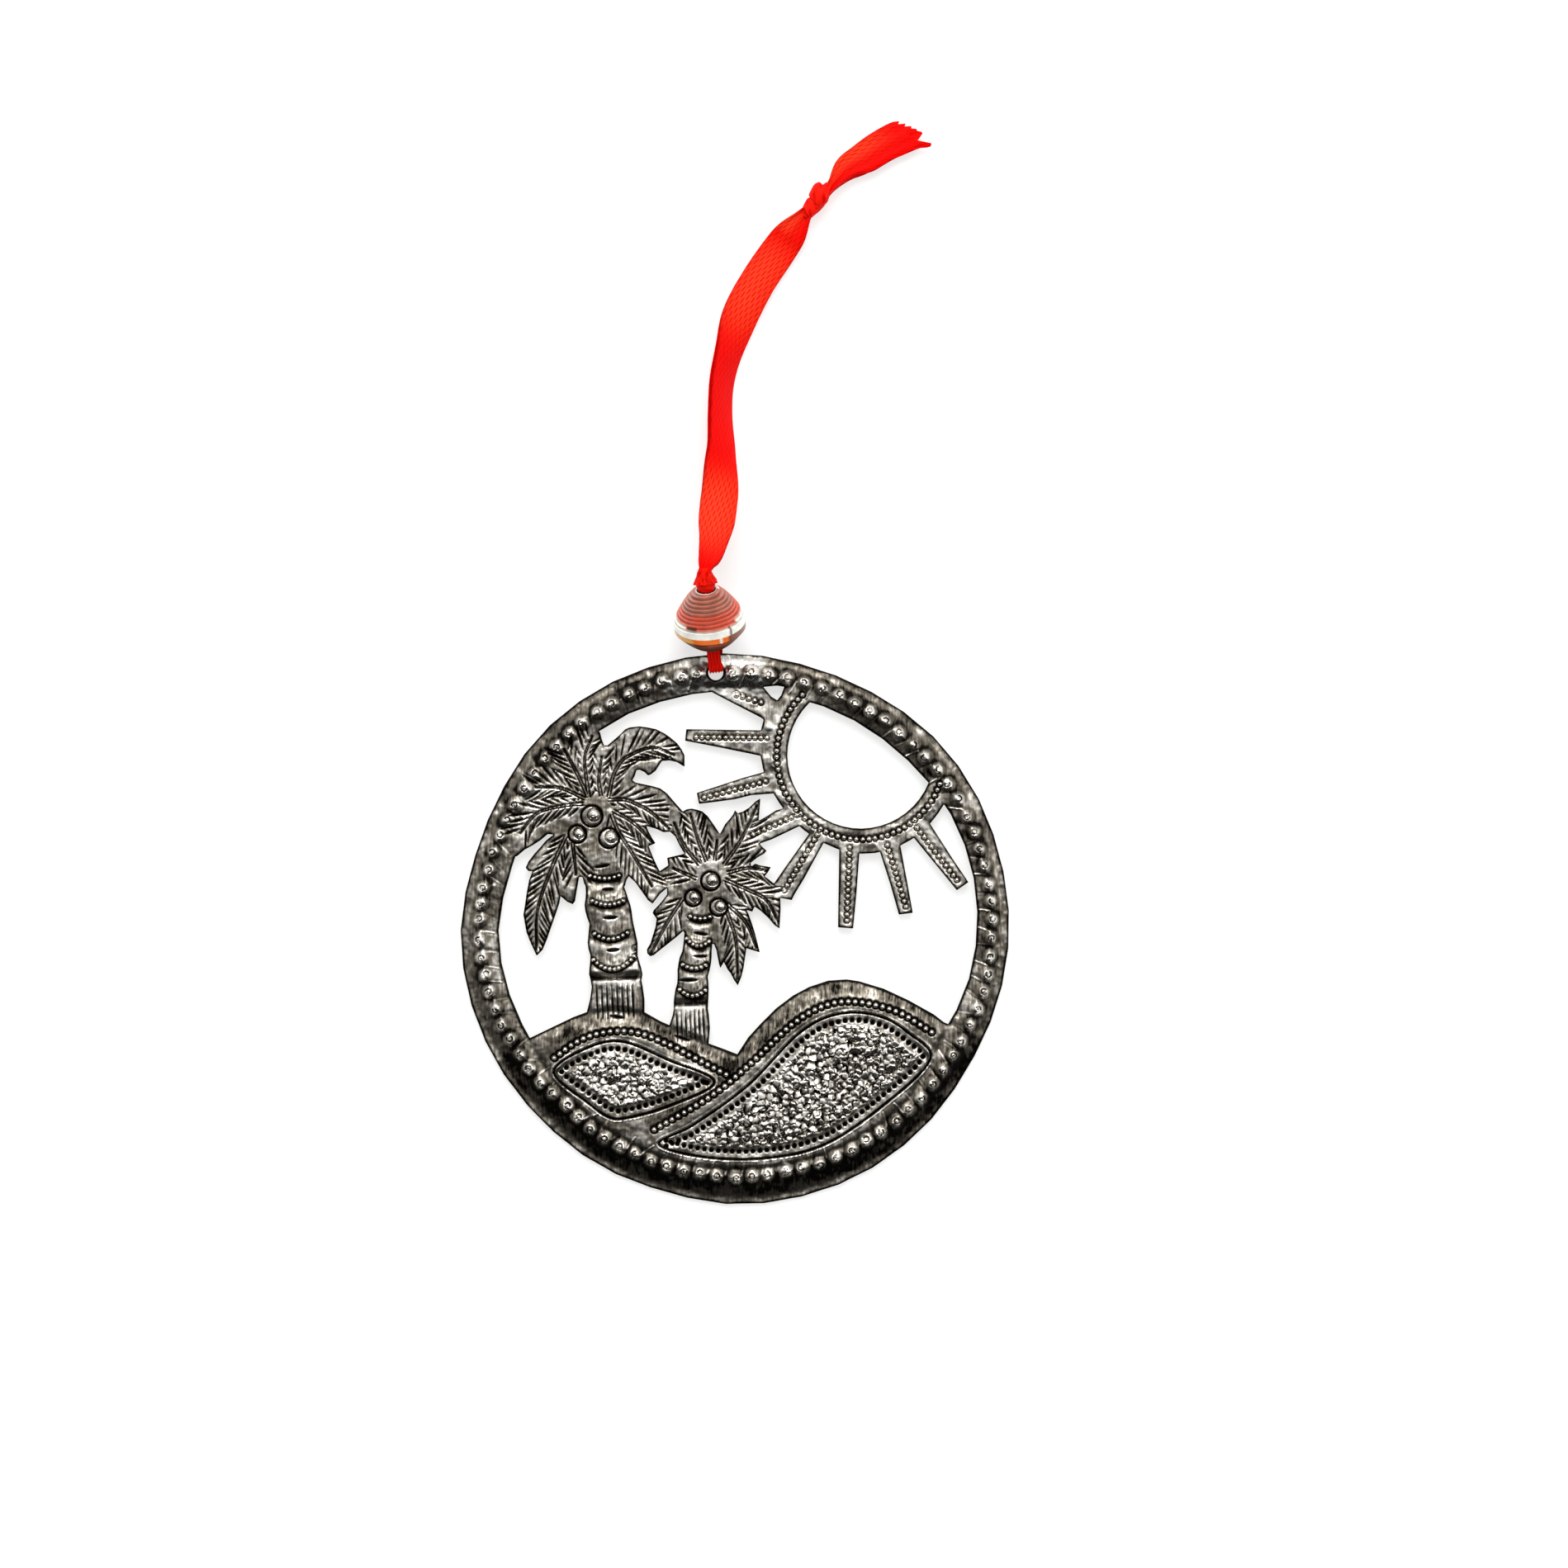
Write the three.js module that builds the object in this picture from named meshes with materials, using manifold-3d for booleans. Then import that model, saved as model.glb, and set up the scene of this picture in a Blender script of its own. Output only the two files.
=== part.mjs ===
// A hanging ornament: a disc of sheet steel, pierced and embossed into two palms, a sun and
// hills, with a rolled-paper bead and a knotted satin ribbon at its hanging hole.
// It lies face up. Millimetres, +Z out of the face, +Y towards the ribbon, X to the right.
import * as THREE from "three";
import { mergeVertices } from "three/addons/utils/BufferGeometryUtils.js";
import Module from "manifold-3d";

const wasm = await Module();
wasm.setup();

// Driving sizes of the steel disc
const discDiameter = 95;
const sheet = 0.9; // thickness of the steel
const restLand = 1.2; // width of the flat back edge that the disc rests on
const crestRise = 1.8; // the rim's crest, measured under the sheet
const innerRise = 0.9; // the rim's inner edge, under the sheet
const sceneRise = 1.0; // fronds and rays, under the sheet
const trunkCrown = 1.1; // how far a trunk is pushed up above the fronds
const cupRise = 0.5; // each step of a trunk's bark
const cupFall = 0.8; // length of a step's steep side
const cupLength = 4; // length over which a step rises to its lip
const trunkStep = 1.1; // spacing of the sections along a trunk
const hillCrown = 1.3; // how far the hills are pushed up above the fronds
const hillCrownReach = 12; // where the hills are narrower than this, they are crowned less
const panelDrop = 0.5; // depth of the sunk panels in the hills
const panelLap = 0.3; // their wall's width under the raised sheet
const bandCrown = 0.4; // how far the sun's band is pushed up
const cutDepth = 20; // length of a piercing cut

// Driving sizes of the punched bosses and the coconuts
const bossCount = 90; // places round the rim, one of them taken by the hanging hole
const bossRadius = 1.2;
const bossTopRadius = 0.55;
const bossHeight = 0.6;
const coconutHeight = 1.1;

// Driving sizes of the hanging hole, the ribbon, its knots and the bead
const holeRadius = 1.3;
const touchGap = 0.3; // clearance between neighbouring pieces
const ribbonWidth = 6.35;
const ribbonThickness = 0.4;
const strapThickness = 0.5; // the doubled, gathered ribbon at the hole
const strapWidth = 2.5;
const strandRadius = 1.3; // the ribbon gathered into the bead's bore
const strapHoleShare = 0.66; // how much of its width the strap keeps in the hole
const strapSlack = 0.3; // how far its bends stand off, beyond the clearance
const beadDiameter = 12.7;
const beadEndDiameter = 4.2;
const beadBoreRadius = strandRadius + 0.35;
const beadLowerCone = 3.8; // the bead is rolled by hand, so its cones differ in length
const beadBandLength = 1.5; // the last, widest turns of the rolled strip
const beadUpperCone = 5.7;
const beadSteps = 8; // steps of the rolled strip on each cone
const coneRoundness = 0.9; // the power of a cone's profile: 1 is straight, and less is rounder
const neckKnotLength = 3.8;
const neckKnotRadius = 1.85;
const endKnotRadius = 1.85;
const beadTilt = THREE.MathUtils.degToRad(32); // the bead's axis above the table
const hangHeading = THREE.MathUtils.degToRad(96); // from +X to the bead
const strapReach = 4.75; // from the hole to the bead's lower end, in plan
const tableGap = 0.05; // the bead's clearance above the table

// How finely round and curved pieces are divided
const bossSides = 5;
const coconutSides = 12;
const holeSides = 20;
const sunSections = 30;
const strapSections = 30;
const strandSides = 12;
const knotSides = 14;
const beadSides = 16;

// The scene's outlines are drawn in millimetres from the centre of a disc of this diameter
const drawnDiameter = 95;
const fit = discDiameter / drawnDiameter;
// The ribbon's widths on its route were read off a ribbon of this width
const drawnRibbonWidth = 6.35;

// Rim radii read every 15 degrees from +X, anticlockwise; its hammered edge isn't a true circle
const outerRadii = [
  47.5, 47.6, 47.9, 47.9, 47.4, 47.3, 47.7, 47.7, 47.7, 47.5, 46.8, 46.6,
  47.3, 47.3, 47.1, 46.9, 47.0, 46.9, 47.5, 47.6, 47.6, 47.3, 46.9, 47.2,
];
const crestRadii = [
  44.4, 44.6, 44.7, 44.5, 44.3, 44.4, 44.4, 44.6, 44.5, 44.0, 43.6, 43.6,
  44.0, 43.6, 42.7, 42.0, 42.1, 42.4, 42.5, 42.7, 43.0, 43.3, 43.5, 44.0,
];
const innerRadii = [
  41.9, 42.3, 42.3, 41.8, 41.6, 41.4, 41.3, 41.3, 41.5, 41.1, 40.3, 39.9,
  40.7, 40.4, 40.0, 40.6, 40.9, 41.2, 41.3, 41.5, 41.8, 41.8, 40.1, 41.2,
];

// Hanging hole, on the rim's crest
const holeAngle = Math.atan2(44.3, -3.2);
const liftHalfAngle = THREE.MathUtils.degToRad(5); // full lift of the edge over the ribbon
const liftFadeAngle = THREE.MathUtils.degToRad(6);
const edgeLift = touchGap + strapThickness + touchGap; // the ribbon passes under the edge here

// Outlines of the two palm crowns, with the notches between their fronds
const leftCrown = [
  [-23.9, 34.5], [-23.2, 34.1], [-22.9, 32.9], [-22.5, 31.8], [-21.9, 31.8], [-19.9, 33.5],
  [-18.8, 34.6], [-18.1, 34.9], [-16.4, 35.1], [-14.9, 34.9], [-13.5, 34.6], [-12.1, 33.9],
  [-11.1, 33.2], [-9.9, 32.2], [-9.1, 31.1], [-8.6, 30.1], [-8.6, 28.1], [-9.9, 28.9], [-11.2, 29.2],
  [-12.5, 29.1], [-13.1, 28.2], [-13.6, 27.4], [-14.4, 26.8], [-14.9, 26.6], [-15.5, 27.2],
  [-16.4, 27.6], [-16.9, 27.5], [-17.2, 26.5], [-17.6, 25.8], [-17.1, 25.4], [-14.2, 24.8],
  [-12.8, 24.4], [-11.6, 23.5], [-10.5, 22.2], [-8.9, 20.4], [-7.8, 17.9], [-8.1, 12.9],
  [-10.6, 11.5], [-10.4, 7.9], [-11.6, 7.2], [-12.8, 6.2], [-14.1, 4.5], [-14.9, 5.1], [-16.1, 6.8],
  [-17.1, 8.2], [-18.2, 9.2], [-18.6, 8.6], [-18.9, 7.5], [-19.8, 7.9], [-20.6, 6.5], [-24.9, 6.5],
  [-25.9, 7.9], [-26.2, 9.1], [-26.8, 9.1], [-27.2, 6.8], [-27.5, 4.9], [-27.9, 4.4], [-28.8, 4.8],
  [-30, 5.8], [-30.2, 4.6], [-30.9, 2.5], [-31.6, 0.5], [-32.4, -1.8], [-33.1, -3.5], [-34.1, -4.5],
  [-35.1, -2.4], [-35.9, -0.4], [-36.4, 2.6], [-36.1, 4.4], [-35.8, 6.5], [-35.4, 8.6],
  [-34.8, 10.1], [-35.5, 10.1], [-36, 10.7], [-35.5, 11.8], [-34.5, 13.1], [-33.5, 14.2],
  [-32.5, 15.4], [-31.2, 16.4], [-32.2, 16.5], [-33.5, 15.4], [-34.9, 14.5], [-36.2, 13.8],
  [-37.6, 12.6], [-39.8, 13.6], [-40.4, 17.9], [-38.0, 23.6], [-34.5, 28.8], [-30.4, 33.0],
  [-27.4, 35.6], [-25.1, 36.6],
];
const rightCrown = [
  [-8.9, 20.4], [-8.2, 20.8], [-7.4, 20.9], [-6.4, 20.7], [-5.5, 20.4], [-4.6, 19.6], [-3.9, 18.6],
  [-3.2, 17.6], [-2.5, 16.5], [-2.1, 17.2], [-1.6, 18.2], [-0.8, 19.1], [-0.2, 19.9], [0.1, 20.6],
  [0.6, 20.1], [1.5, 20.4], [2.6, 21.1], [3.6, 22.1], [4.5, 22.7], [4.4, 21.5], [4.3, 20.1],
  [4.2, 18.8], [4.5, 16.5], [4.4, 15.1], [4.5, 14.6], [5.6, 13.6], [5.1, 13.1], [3.9, 12.4],
  [2.8, 11.5], [2.9, 10.9], [3.6, 11.4], [4.4, 11.1], [6.3, 10.8], [5.8, 9.9], [5.2, 9.2],
  [5.8, 8.8], [6.9, 7.9], [7.9, 6.5], [8, 3.6], [7.9, 1.9], [7.8, 0.2], [6.9, 0.8], [5.8, 2.1],
  [4.6, 3.2], [3.5, 4], [3.1, 3.1], [2.1, 3.4], [2.5, 2.6], [3.1, 0.9], [3.5, -0.4], [3.9, -1.9],
  [4.4, -3.9], [2.1, -3.2], [1.8, -5.2], [1.6, -6.6], [1.2, -8.2], [0.6, -9.6], [-0.1, -8.6],
  [-0.6, -7.6], [-1.2, -6.8], [-1.8, -5.6], [-2.4, -6.6], [-2.6, -6.1], [-2.9, -4.6], [-3.1, -3.5],
  [-3.5, -2.5], [-5.6, -2.1], [-8.2, -1.4], [-8.8, -0.2], [-9.9, -1.2], [-11.4, -2.4],
  [-12.8, -3.5], [-13.9, -4.4], [-14.5, -4.6], [-15, -4.1], [-15.1, -3.4], [-14.5, -2.4],
  [-14.1, -1.1], [-13.6, 0.5], [-13.4, 1.9], [-14.1, 2.9], [-13.9, 3.4], [-13.2, 4.1],
  [-12.5, 4.9], [-11.6, 6.1], [-11.6, 7.2], [-10.4, 8.2], [-11.1, 10.8], [-11.6, 12.4],
  [-9.9, 12.8], [-8.6, 13.1], [-9.5, 14.6], [-10.2, 16.1], [-11.1, 17.2], [-10.6, 19.4],
];
const crownGap = [
  [-15.2, 17.9], [-13.5, 17.4], [-12.2, 16.8], [-11.1, 16.9], [-10.2, 16.1], [-9.5, 14.6],
  [-8.6, 13.1], [-11.6, 12.4], [-11.4, 11.1], [-12.9, 10.1], [-13.6, 11.5], [-14.2, 12.9],
  [-14.8, 14.4], [-13.6, 14.9], [-14.2, 15.8], [-14.9, 17.1],
];
// Each coconut: x, y and radius
const coconuts = [
  [-24.6, 19.6, 1.8], [-21.6, 15.8, 1.7], [-27.1, 16.5, 1.5],
  [-4.1, 8.4, 1.6], [-7.1, 5.5, 1.4], [-2.7, 3.9, 1.5],
];

// Each trunk section: y, left x, right x; and the y of each bark step's lower lip
const leftTrunk = [
  [10.8, -26.2, -19.6], [7.9, -25.9, -19.6], [7.4, -25.6, -18.9], [5.8, -25.6, -18.5],
  [3.9, -25.9, -17.8], [2.1, -25.4, -17.6], [1.8, -24.9, -17.6], [0.1, -25.1, -17.2],
  [-3.2, -25.4, -16.5], [-3.5, -24.9, -16.9], [-4.9, -24.8, -16.6], [-7.5, -25.1, -15.8],
  [-8.6, -24.9, -16.1], [-9.2, -24.5, -15.9], [-12.1, -24.9, -15.5], [-14.4, -25.5, -15.5],
  [-16.4, -26.2, -14.8],
];
const leftLips = [8.8, 4.2, -1.6, -7.0];
const rightTrunk = [
  [1.9, -8.2, -3.6], [-0.4, -8.6, -3.4], [-2.5, -8.8, -3.8], [-3.5, -8.9, -3.9], [-4.6, -9.4, -3.9],
  [-6.6, -9.8, -4.1], [-7.9, -9.8, -4.6], [-8.8, -9.7, -4.5], [-9.9, -10.1, -4.4],
  [-12.4, -10.5, -4.5], [-13.5, -10.4, -4.6], [-14.6, -10.6, -4.4], [-17.1, -11.4, -4.2],
  [-21.4, -11.1, -4.6],
];
const rightLips = [1.4, -2.5, -6.6, -11.4];

// The sun: a band round an open disc, with rays that end at or short of their neighbours
const sunCentre = [21.8, 30.1];
const sunInnerRadius = 12.65;
const sunStart = THREE.MathUtils.degToRad(120);
const sunSweep = THREE.MathUtils.degToRad(226);
// The band's outer radii, read every 30 degrees like the rim's
const sunOuterRadii = [17.0, 17.0, 17.0, 17.2, 17.3, 18.0, 17.3, 16.3, 16.3, 17.0, 17.0, 16.7];
const rays = [
  [[-5.6, 42.0], [-4.1, 41.1], [0.1, 38.9], [4.6, 36.6], [6.5, 35.1], [7.9, 37.6], [7.4, 42.0]],
  [[6.5, 34.5], [4.5, 34.4], [-8.3, 34.6], [-8.5, 32.6], [-2.8, 31.5], [4.5, 30], [6.5, 29.9]],
  [
    [7.2, 27.9], [5.1, 27.2], [1.5, 26.2], [-2.8, 24.8], [-6.5, 23.6], [-6.1, 21.7], [-2.8, 22.1],
    [0.1, 22.5], [2.9, 23.2], [6.9, 23.5], [9.4, 23.9],
  ],
  [
    [10.1, 22.2], [8.4, 20.9], [7.2, 20.6], [5.8, 19.7], [4.2, 18.8], [2.2, 17.9], [2.2, 15.1],
    [4.5, 14.9], [6.5, 15.6], [8.6, 16.6], [11.1, 17.8], [12.9, 18.9],
  ],
  [
    [13.6, 17.5], [12.5, 16], [10.8, 13.6], [8.6, 10.5], [6.8, 7.9], [6.1, 7.1], [7.9, 5.5],
    [9.9, 5.1], [10.4, 6.1], [12.2, 9.1], [14.1, 12.6], [15.6, 15.3], [16.9, 17.2],
  ],
  [[18.4, 16.5], [18.1, 13.9], [17.9, 0.4], [20.5, 0.2], [21.1, 6.5], [21.6, 13.5], [21.9, 16.5]],
  [
    [24.1, 16.2], [25.1, 13.5], [26.9, 7.9], [28.4, 2.6], [30.8, 2.9], [29.9, 7.9], [28.6, 14.8],
    [28.1, 17.2],
  ],
  [[28.9, 18.0], [31.1, 15.7], [38.4, 6.8], [40.4, 8.2], [37.9, 11.9], [33.9, 18.1], [32.4, 20.1]],
];
const sunGap = [[5.0, 41.9], [7.4, 42.1], [8.6, 41.9], [8.1, 40.5], [7.4, 39.6], [6.4, 40.2]];

// The hills' skyline from left to right, and the two sunk panels, each drawn clockwise
const skyline = [
  [-37.4, -19.6], [-35.5, -18.8], [-32.6, -17.4], [-29.9, -16.1], [-27.8, -15.1], [-25.4, -14.2],
  [-20.6, -13.6], [-15.6, -14.2], [-12.8, -15.8], [-11.4, -16.4], [-7.8, -18.1], [-4.6, -19.6],
  [-2.1, -20.5], [0.5, -21.5], [2.4, -18.6], [4.4, -16.4], [7.2, -13.6], [10.1, -11.4], [12.9, -9.9],
  [16.2, -8.8], [19.4, -8.6], [21.5, -8.9], [25.8, -10.2], [30.1, -12.2], [34.4, -14.6],
  [36.2, -16.0], [38.6, -17.0],
];
const hillStart = THREE.MathUtils.degToRad(208);
const hillEnd = THREE.MathUtils.degToRad(336);
const leftPanel = [
  [-31.1, -24.8], [-28.5, -22.2], [-25.6, -20.4], [-23.2, -19.4], [-19.5, -19.2], [-16.4, -20.2],
  [-11.4, -22.4], [-7.1, -24.5], [-3.2, -26.1], [-7.1, -28.5], [-11.4, -30.4], [-15.6, -31.8],
  [-18.5, -32.4], [-21.4, -32.5], [-24.2, -30.8], [-28.5, -27.4],
];
const rightPanel = [
  [30.8, -25.4], [26.5, -29.6], [22.2, -32.8], [17.9, -35.9], [13.6, -37.6], [8.6, -39.1],
  [1.5, -39.4], [-4.9, -39.2], [-9.2, -38.5], [-13.1, -36.8], [-7.1, -33.6], [-1.4, -29.8],
  [2.2, -26.9], [6.5, -22.4], [10.8, -18.1], [12.9, -16.5], [17.2, -14.6], [21.5, -14.2],
  [25.1, -14.9], [27.9, -16.4], [30.1, -17.8], [32.6, -20.6], [33.8, -22.2],
];

// The doubled ribbon's route from the neck knot to the end knot. At each point: x and y from
// the neck knot's top, how much of the nearer knot's height it still has, roll in degrees, and
// width across. Where it has none left, the ribbon lies on the table.
const legRoute = [
  [0.5, 0.9, 0.98, 0, 2.6],
  [1.1, 2.4, 0.91, 0, 3.9],
  [1.7, 5.3, 0.8, 0, 5.0],
  [2.1, 8.2, 0.67, 0, 6.2],
  [2.4, 11.1, 0.51, 8, 6.35],
  [2.7, 14.1, 0.36, 20, 6.35],
  [2.8, 18.4, 0.19, 38, 6.35],
  [2.9, 21.8, 0.08, 50, 6.35],
  [2.7, 27.1, 0, 57, 6.35],
  [3.0, 32.7, 0, 57, 6.35],
  [4.3, 38.4, 0, 49, 6.35],
  [6.1, 44.2, 0, 22, 6.35],
  [9.0, 50.0, 0, 5, 6.2],
  [12.8, 55.7, 0, 0, 6.0],
  [15.0, 58.6, 0.6, 0, 5.4],
  [17.0, 61.3, 1, 0, 2.8],
];
const legSections = 34;
// The two tails' route on from the end knot, and the share of it that the shorter one covers
const tailRoute = [
  [21.8, 66.4, 1, 0, 2.0],
  [23.9, 68.3, 0.8, 0, 3.8],
  [26.6, 69.9, 0.5, 0, 5.3],
  [29.3, 71.5, 0.35, 0, 5.8],
  [31.9, 72.9, 0.35, 0, 6.0],
  [34.8, 74.0, 0.3, 0, 6.2],
  [37.6, 74.8, 0.3, 0, 6.2],
];
const tailSections = 12;
const shortTail = 0.93;

// Materials, as they look
const steel = { color: 0x6e6a64, roughness: 0.45, metalness: 0.9 };
const satin = { color: 0xd80f12, roughness: 0.5, metalness: 0 };
const paper = { color: 0xa8432f, roughness: 0.3, metalness: 0 };

// A closed surface's shared vertices are merged and its faces turned outward
function closedGeometry(positions, triangles) {
  const geometry = new THREE.BufferGeometry();
  geometry.setAttribute("position", new THREE.Float32BufferAttribute(positions, 3));
  geometry.setIndex(triangles);
  const at = (k) => new THREE.Vector3().fromArray(positions, 3 * k);
  let volume = 0;
  for (let k = 0; k < triangles.length; k += 3) {
    const [a, b, c] = [at(triangles[k]), at(triangles[k + 1]), at(triangles[k + 2])];
    volume += a.dot(b.cross(c));
  }
  if (volume < 0) {
    for (let k = 0; k < triangles.length; k += 3) {
      [triangles[k], triangles[k + 1]] = [triangles[k + 1], triangles[k]];
    }
    geometry.setIndex(triangles);
  }
  return geometry;
}

// A three.js geometry as a solid that can be joined and cut
function solidOf(geometry) {
  const bare = geometry.clone();
  bare.deleteAttribute("normal");
  bare.deleteAttribute("uv");
  const merged = mergeVertices(bare, 1e-4);
  return new wasm.Manifold(new wasm.Mesh({
    numProp: 3,
    vertProperties: new Float32Array(merged.attributes.position.array),
    triVerts: new Uint32Array(merged.index.array),
  }));
}

// A solid back as a three.js geometry
function geometryOf(solid) {
  const mesh = solid.getMesh();
  const geometry = new THREE.BufferGeometry();
  geometry.setAttribute("position", new THREE.Float32BufferAttribute(mesh.vertProperties, 3));
  geometry.setIndex(Array.from(mesh.triVerts));
  return geometry;
}

function namedMesh(name, geometry, look) {
  const flat = geometry.index ? geometry.toNonIndexed() : geometry;
  flat.computeVertexNormals();
  const mesh = new THREE.Mesh(flat, new THREE.MeshStandardMaterial(look));
  mesh.name = name;
  return mesh;
}

// A skin over rings of equal length. Each ring goes along its under side and back over its
// top, so the ends close with a row of quads. A looped skin joins its last ring to its first.
// Quads above and below are halved along the same diagonal, which keeps the thickness even.
function loft(rings, looped = false) {
  const count = rings[0].length;
  const positions = rings.flat().flatMap((point) => point.toArray());
  const triangles = [];
  const quad = (a, b, c, d) => triangles.push(a, b, c, a, c, d);
  const spans = looped ? rings.length : rings.length - 1;
  for (let i = 0; i < spans; i += 1) {
    const here = i * count;
    const next = ((i + 1) % rings.length) * count;
    for (let j = 0; j < count; j += 1) {
      const k = (j + 1) % count;
      if (j < count / 2) {
        quad(here + j, here + k, next + k, next + j);
      } else {
        quad(here + k, next + k, next + j, here + j);
      }
    }
  }
  if (!looped) {
    const last = (rings.length - 1) * count;
    for (let j = 0; j < count / 2 - 1; j += 1) {
      quad(j, count - 1 - j, count - 2 - j, j + 1);
      quad(last + j, last + j + 1, last + count - 2 - j, last + count - 1 - j);
    }
  }
  return closedGeometry(positions, triangles);
}

// Embossed sheet: rows of points on its under side, given the sheet's thickness straight up
function embossed(rows, looped = false) {
  const up = new THREE.Vector3(0, 0, sheet);
  const rings = rows.map((row) => [...row, ...row.map((point) => point.clone().add(up)).reverse()]);
  return solidOf(loft(rings, looped));
}

// Flat stock cut to an outline, from a height up
function plate(outline, bottom, thickness) {
  const shape = new THREE.Shape(outline.map(([x, y]) => new THREE.Vector2(x * fit, y * fit)));
  const geometry = new THREE.ExtrudeGeometry(shape, { depth: thickness, bevelEnabled: false });
  return solidOf(geometry.translate(0, 0, bottom));
}

function piercing(outline) {
  return plate(outline, -cutDepth / 2, cutDepth);
}

// The value at an angle, from values read at equal steps round a full turn
function aroundRim(values, angle) {
  const turn = angle / (2 * Math.PI);
  const place = (turn - Math.floor(turn)) * values.length;
  const i = Math.floor(place) % values.length;
  const t = place - Math.floor(place);
  const pick = (k) => values[(k + values.length) % values.length];
  const [a, b, c, d] = [pick(i - 1), pick(i), pick(i + 1), pick(i + 2)];
  return fit * (b + 0.5 * t * (c - a + t * (2 * a - 5 * b + 4 * c - d + t * (3 * (b - c) + d - a))));
}

function polar(radius, angle, height) {
  return new THREE.Vector3(radius * Math.cos(angle), radius * Math.sin(angle), height);
}

// How far the rim's edge is lifted off the table: only over the ribbon at the hanging hole
function liftAt(angle) {
  const away = Math.abs(angle - holeAngle) - liftHalfAngle;
  return edgeLift * (1 - THREE.MathUtils.smoothstep(away, 0, liftFadeAngle));
}

// The rim: a flat outer edge, a slope up to the crest and one down to the pierced middle,
// with its sections between the bosses
function rim() {
  const sections = bossCount / 2;
  const rows = [];
  for (let i = 0; i < sections; i += 1) {
    const angle = holeAngle + (2 * Math.PI * (i + 0.25 - sections / 2)) / sections;
    const outer = aroundRim(outerRadii, angle);
    const crest = aroundRim(crestRadii, angle);
    const inner = aroundRim(innerRadii, angle);
    const lift = liftAt(angle);
    rows.push([
      polar(outer, angle, lift),
      polar(outer - restLand, angle, lift),
      polar(crest, angle, crestRise),
      polar(inner, angle, innerRise),
    ]);
  }
  return embossed(rows, true);
}

// A ring of punched bosses on the crest, all but the one where the hanging hole is
function bosses() {
  const sunk = 0.5 * sheet;
  const solids = [];
  for (let k = 1; k < bossCount; k += 1) {
    const angle = holeAngle + (2 * Math.PI * k) / bossCount;
    const boss = new THREE.CylinderGeometry(bossTopRadius, bossRadius, bossHeight + sunk, bossSides);
    boss.rotateX(Math.PI / 2).rotateZ(angle);
    const middle = crestRise + sheet - sunk + (bossHeight + sunk) / 2;
    boss.translate(...polar(aroundRim(crestRadii, angle), angle, middle).toArray());
    solids.push(solidOf(boss));
  }
  return solids;
}

// Palm fronds: both crowns, less the gap that they close between them
function crowns() {
  const left = plate(leftCrown, sceneRise, sheet);
  const right = plate(rightCrown, sceneRise + sheet / 6, sheet);
  return left.add(right).subtract(piercing(crownGap));
}

// A coconut: a round dome with a step at its foot, as struck by a hollow punch
function coconut([x, y, radius]) {
  const foot = sceneRise + sheet / 2;
  const top = sceneRise + sheet + coconutHeight;
  const profile = [[0, foot], [radius, foot], [radius, foot + sheet]];
  for (const turn of [30, 60, 90]) {
    const angle = THREE.MathUtils.degToRad(turn);
    const rise = (top - foot - sheet) * Math.sin(angle);
    profile.push([radius * Math.cos(angle), foot + sheet + rise]);
  }
  profile[profile.length - 1][0] = 0;
  const dome = new THREE.LatheGeometry(profile.map(([r, h]) => new THREE.Vector2(r, h)), coconutSides);
  return solidOf(dome.rotateX(Math.PI / 2).translate(x * fit, y * fit, 0));
}

// A trunk's edges at a height on the drawing, between the sections that were read
function trunkEdges(sections, y) {
  let k = 1;
  while (k < sections.length - 1 && sections[k][0] > y) {
    k += 1;
  }
  const [upper, lower] = [sections[k - 1], sections[k]];
  const t = THREE.MathUtils.clamp((upper[0] - y) / (upper[0] - lower[0]), 0, 1);
  return [1, 2].map((side) => THREE.MathUtils.lerp(upper[side], lower[side], t));
}

// A trunk: a crowned strip whose bark rises to each lip and falls steeply below it
function trunk(sections, lips) {
  const top = sections[0][0];
  const bottom = sections[sections.length - 1][0];
  const steps = Math.round((top - bottom) / trunkStep);
  const rows = [];
  for (let i = 0; i <= steps; i += 1) {
    const y = THREE.MathUtils.lerp(top, bottom, i / steps);
    const [left, right] = trunkEdges(sections, y);
    const lip = lips.find((value) => y > value - cupFall);
    const above = lip === undefined ? 0 : y - lip;
    const bulge = above > 0 ? Math.max(0, 1 - above / cupLength) : 1 + above / cupFall;
    const rise = lip === undefined ? 0 : cupRise * bulge;
    rows.push([0, 0.2, 0.5, 0.8, 1].map((across) => {
      const crown = Math.sin(Math.PI * across);
      const height = innerRise + sheet / 8 + (trunkCrown + rise) * crown;
      return new THREE.Vector3(fit * THREE.MathUtils.lerp(left, right, across), fit * y, height);
    }));
  }
  return embossed(rows);
}

// The sun's band, crowned across its width
function sunBand() {
  const rows = [];
  for (let i = 0; i <= sunSections; i += 1) {
    const angle = sunStart + (sunSweep * i) / sunSections;
    const inner = fit * sunInnerRadius;
    const outer = aroundRim(sunOuterRadii, angle);
    rows.push([0, 0.5, 1].map((across) => {
      const height = sceneRise - sheet / 10 + bandCrown * Math.sin(Math.PI * across);
      const point = polar(THREE.MathUtils.lerp(outer, inner, across), angle, height);
      return point.add(new THREE.Vector3(fit * sunCentre[0], fit * sunCentre[1], 0));
    }));
  }
  return embossed(rows);
}

function sun() {
  let solid = sunBand();
  for (const outline of rays) {
    solid = solid.add(plate(outline, sceneRise - sheet / 5, sheet));
  }
  return solid;
}

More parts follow.
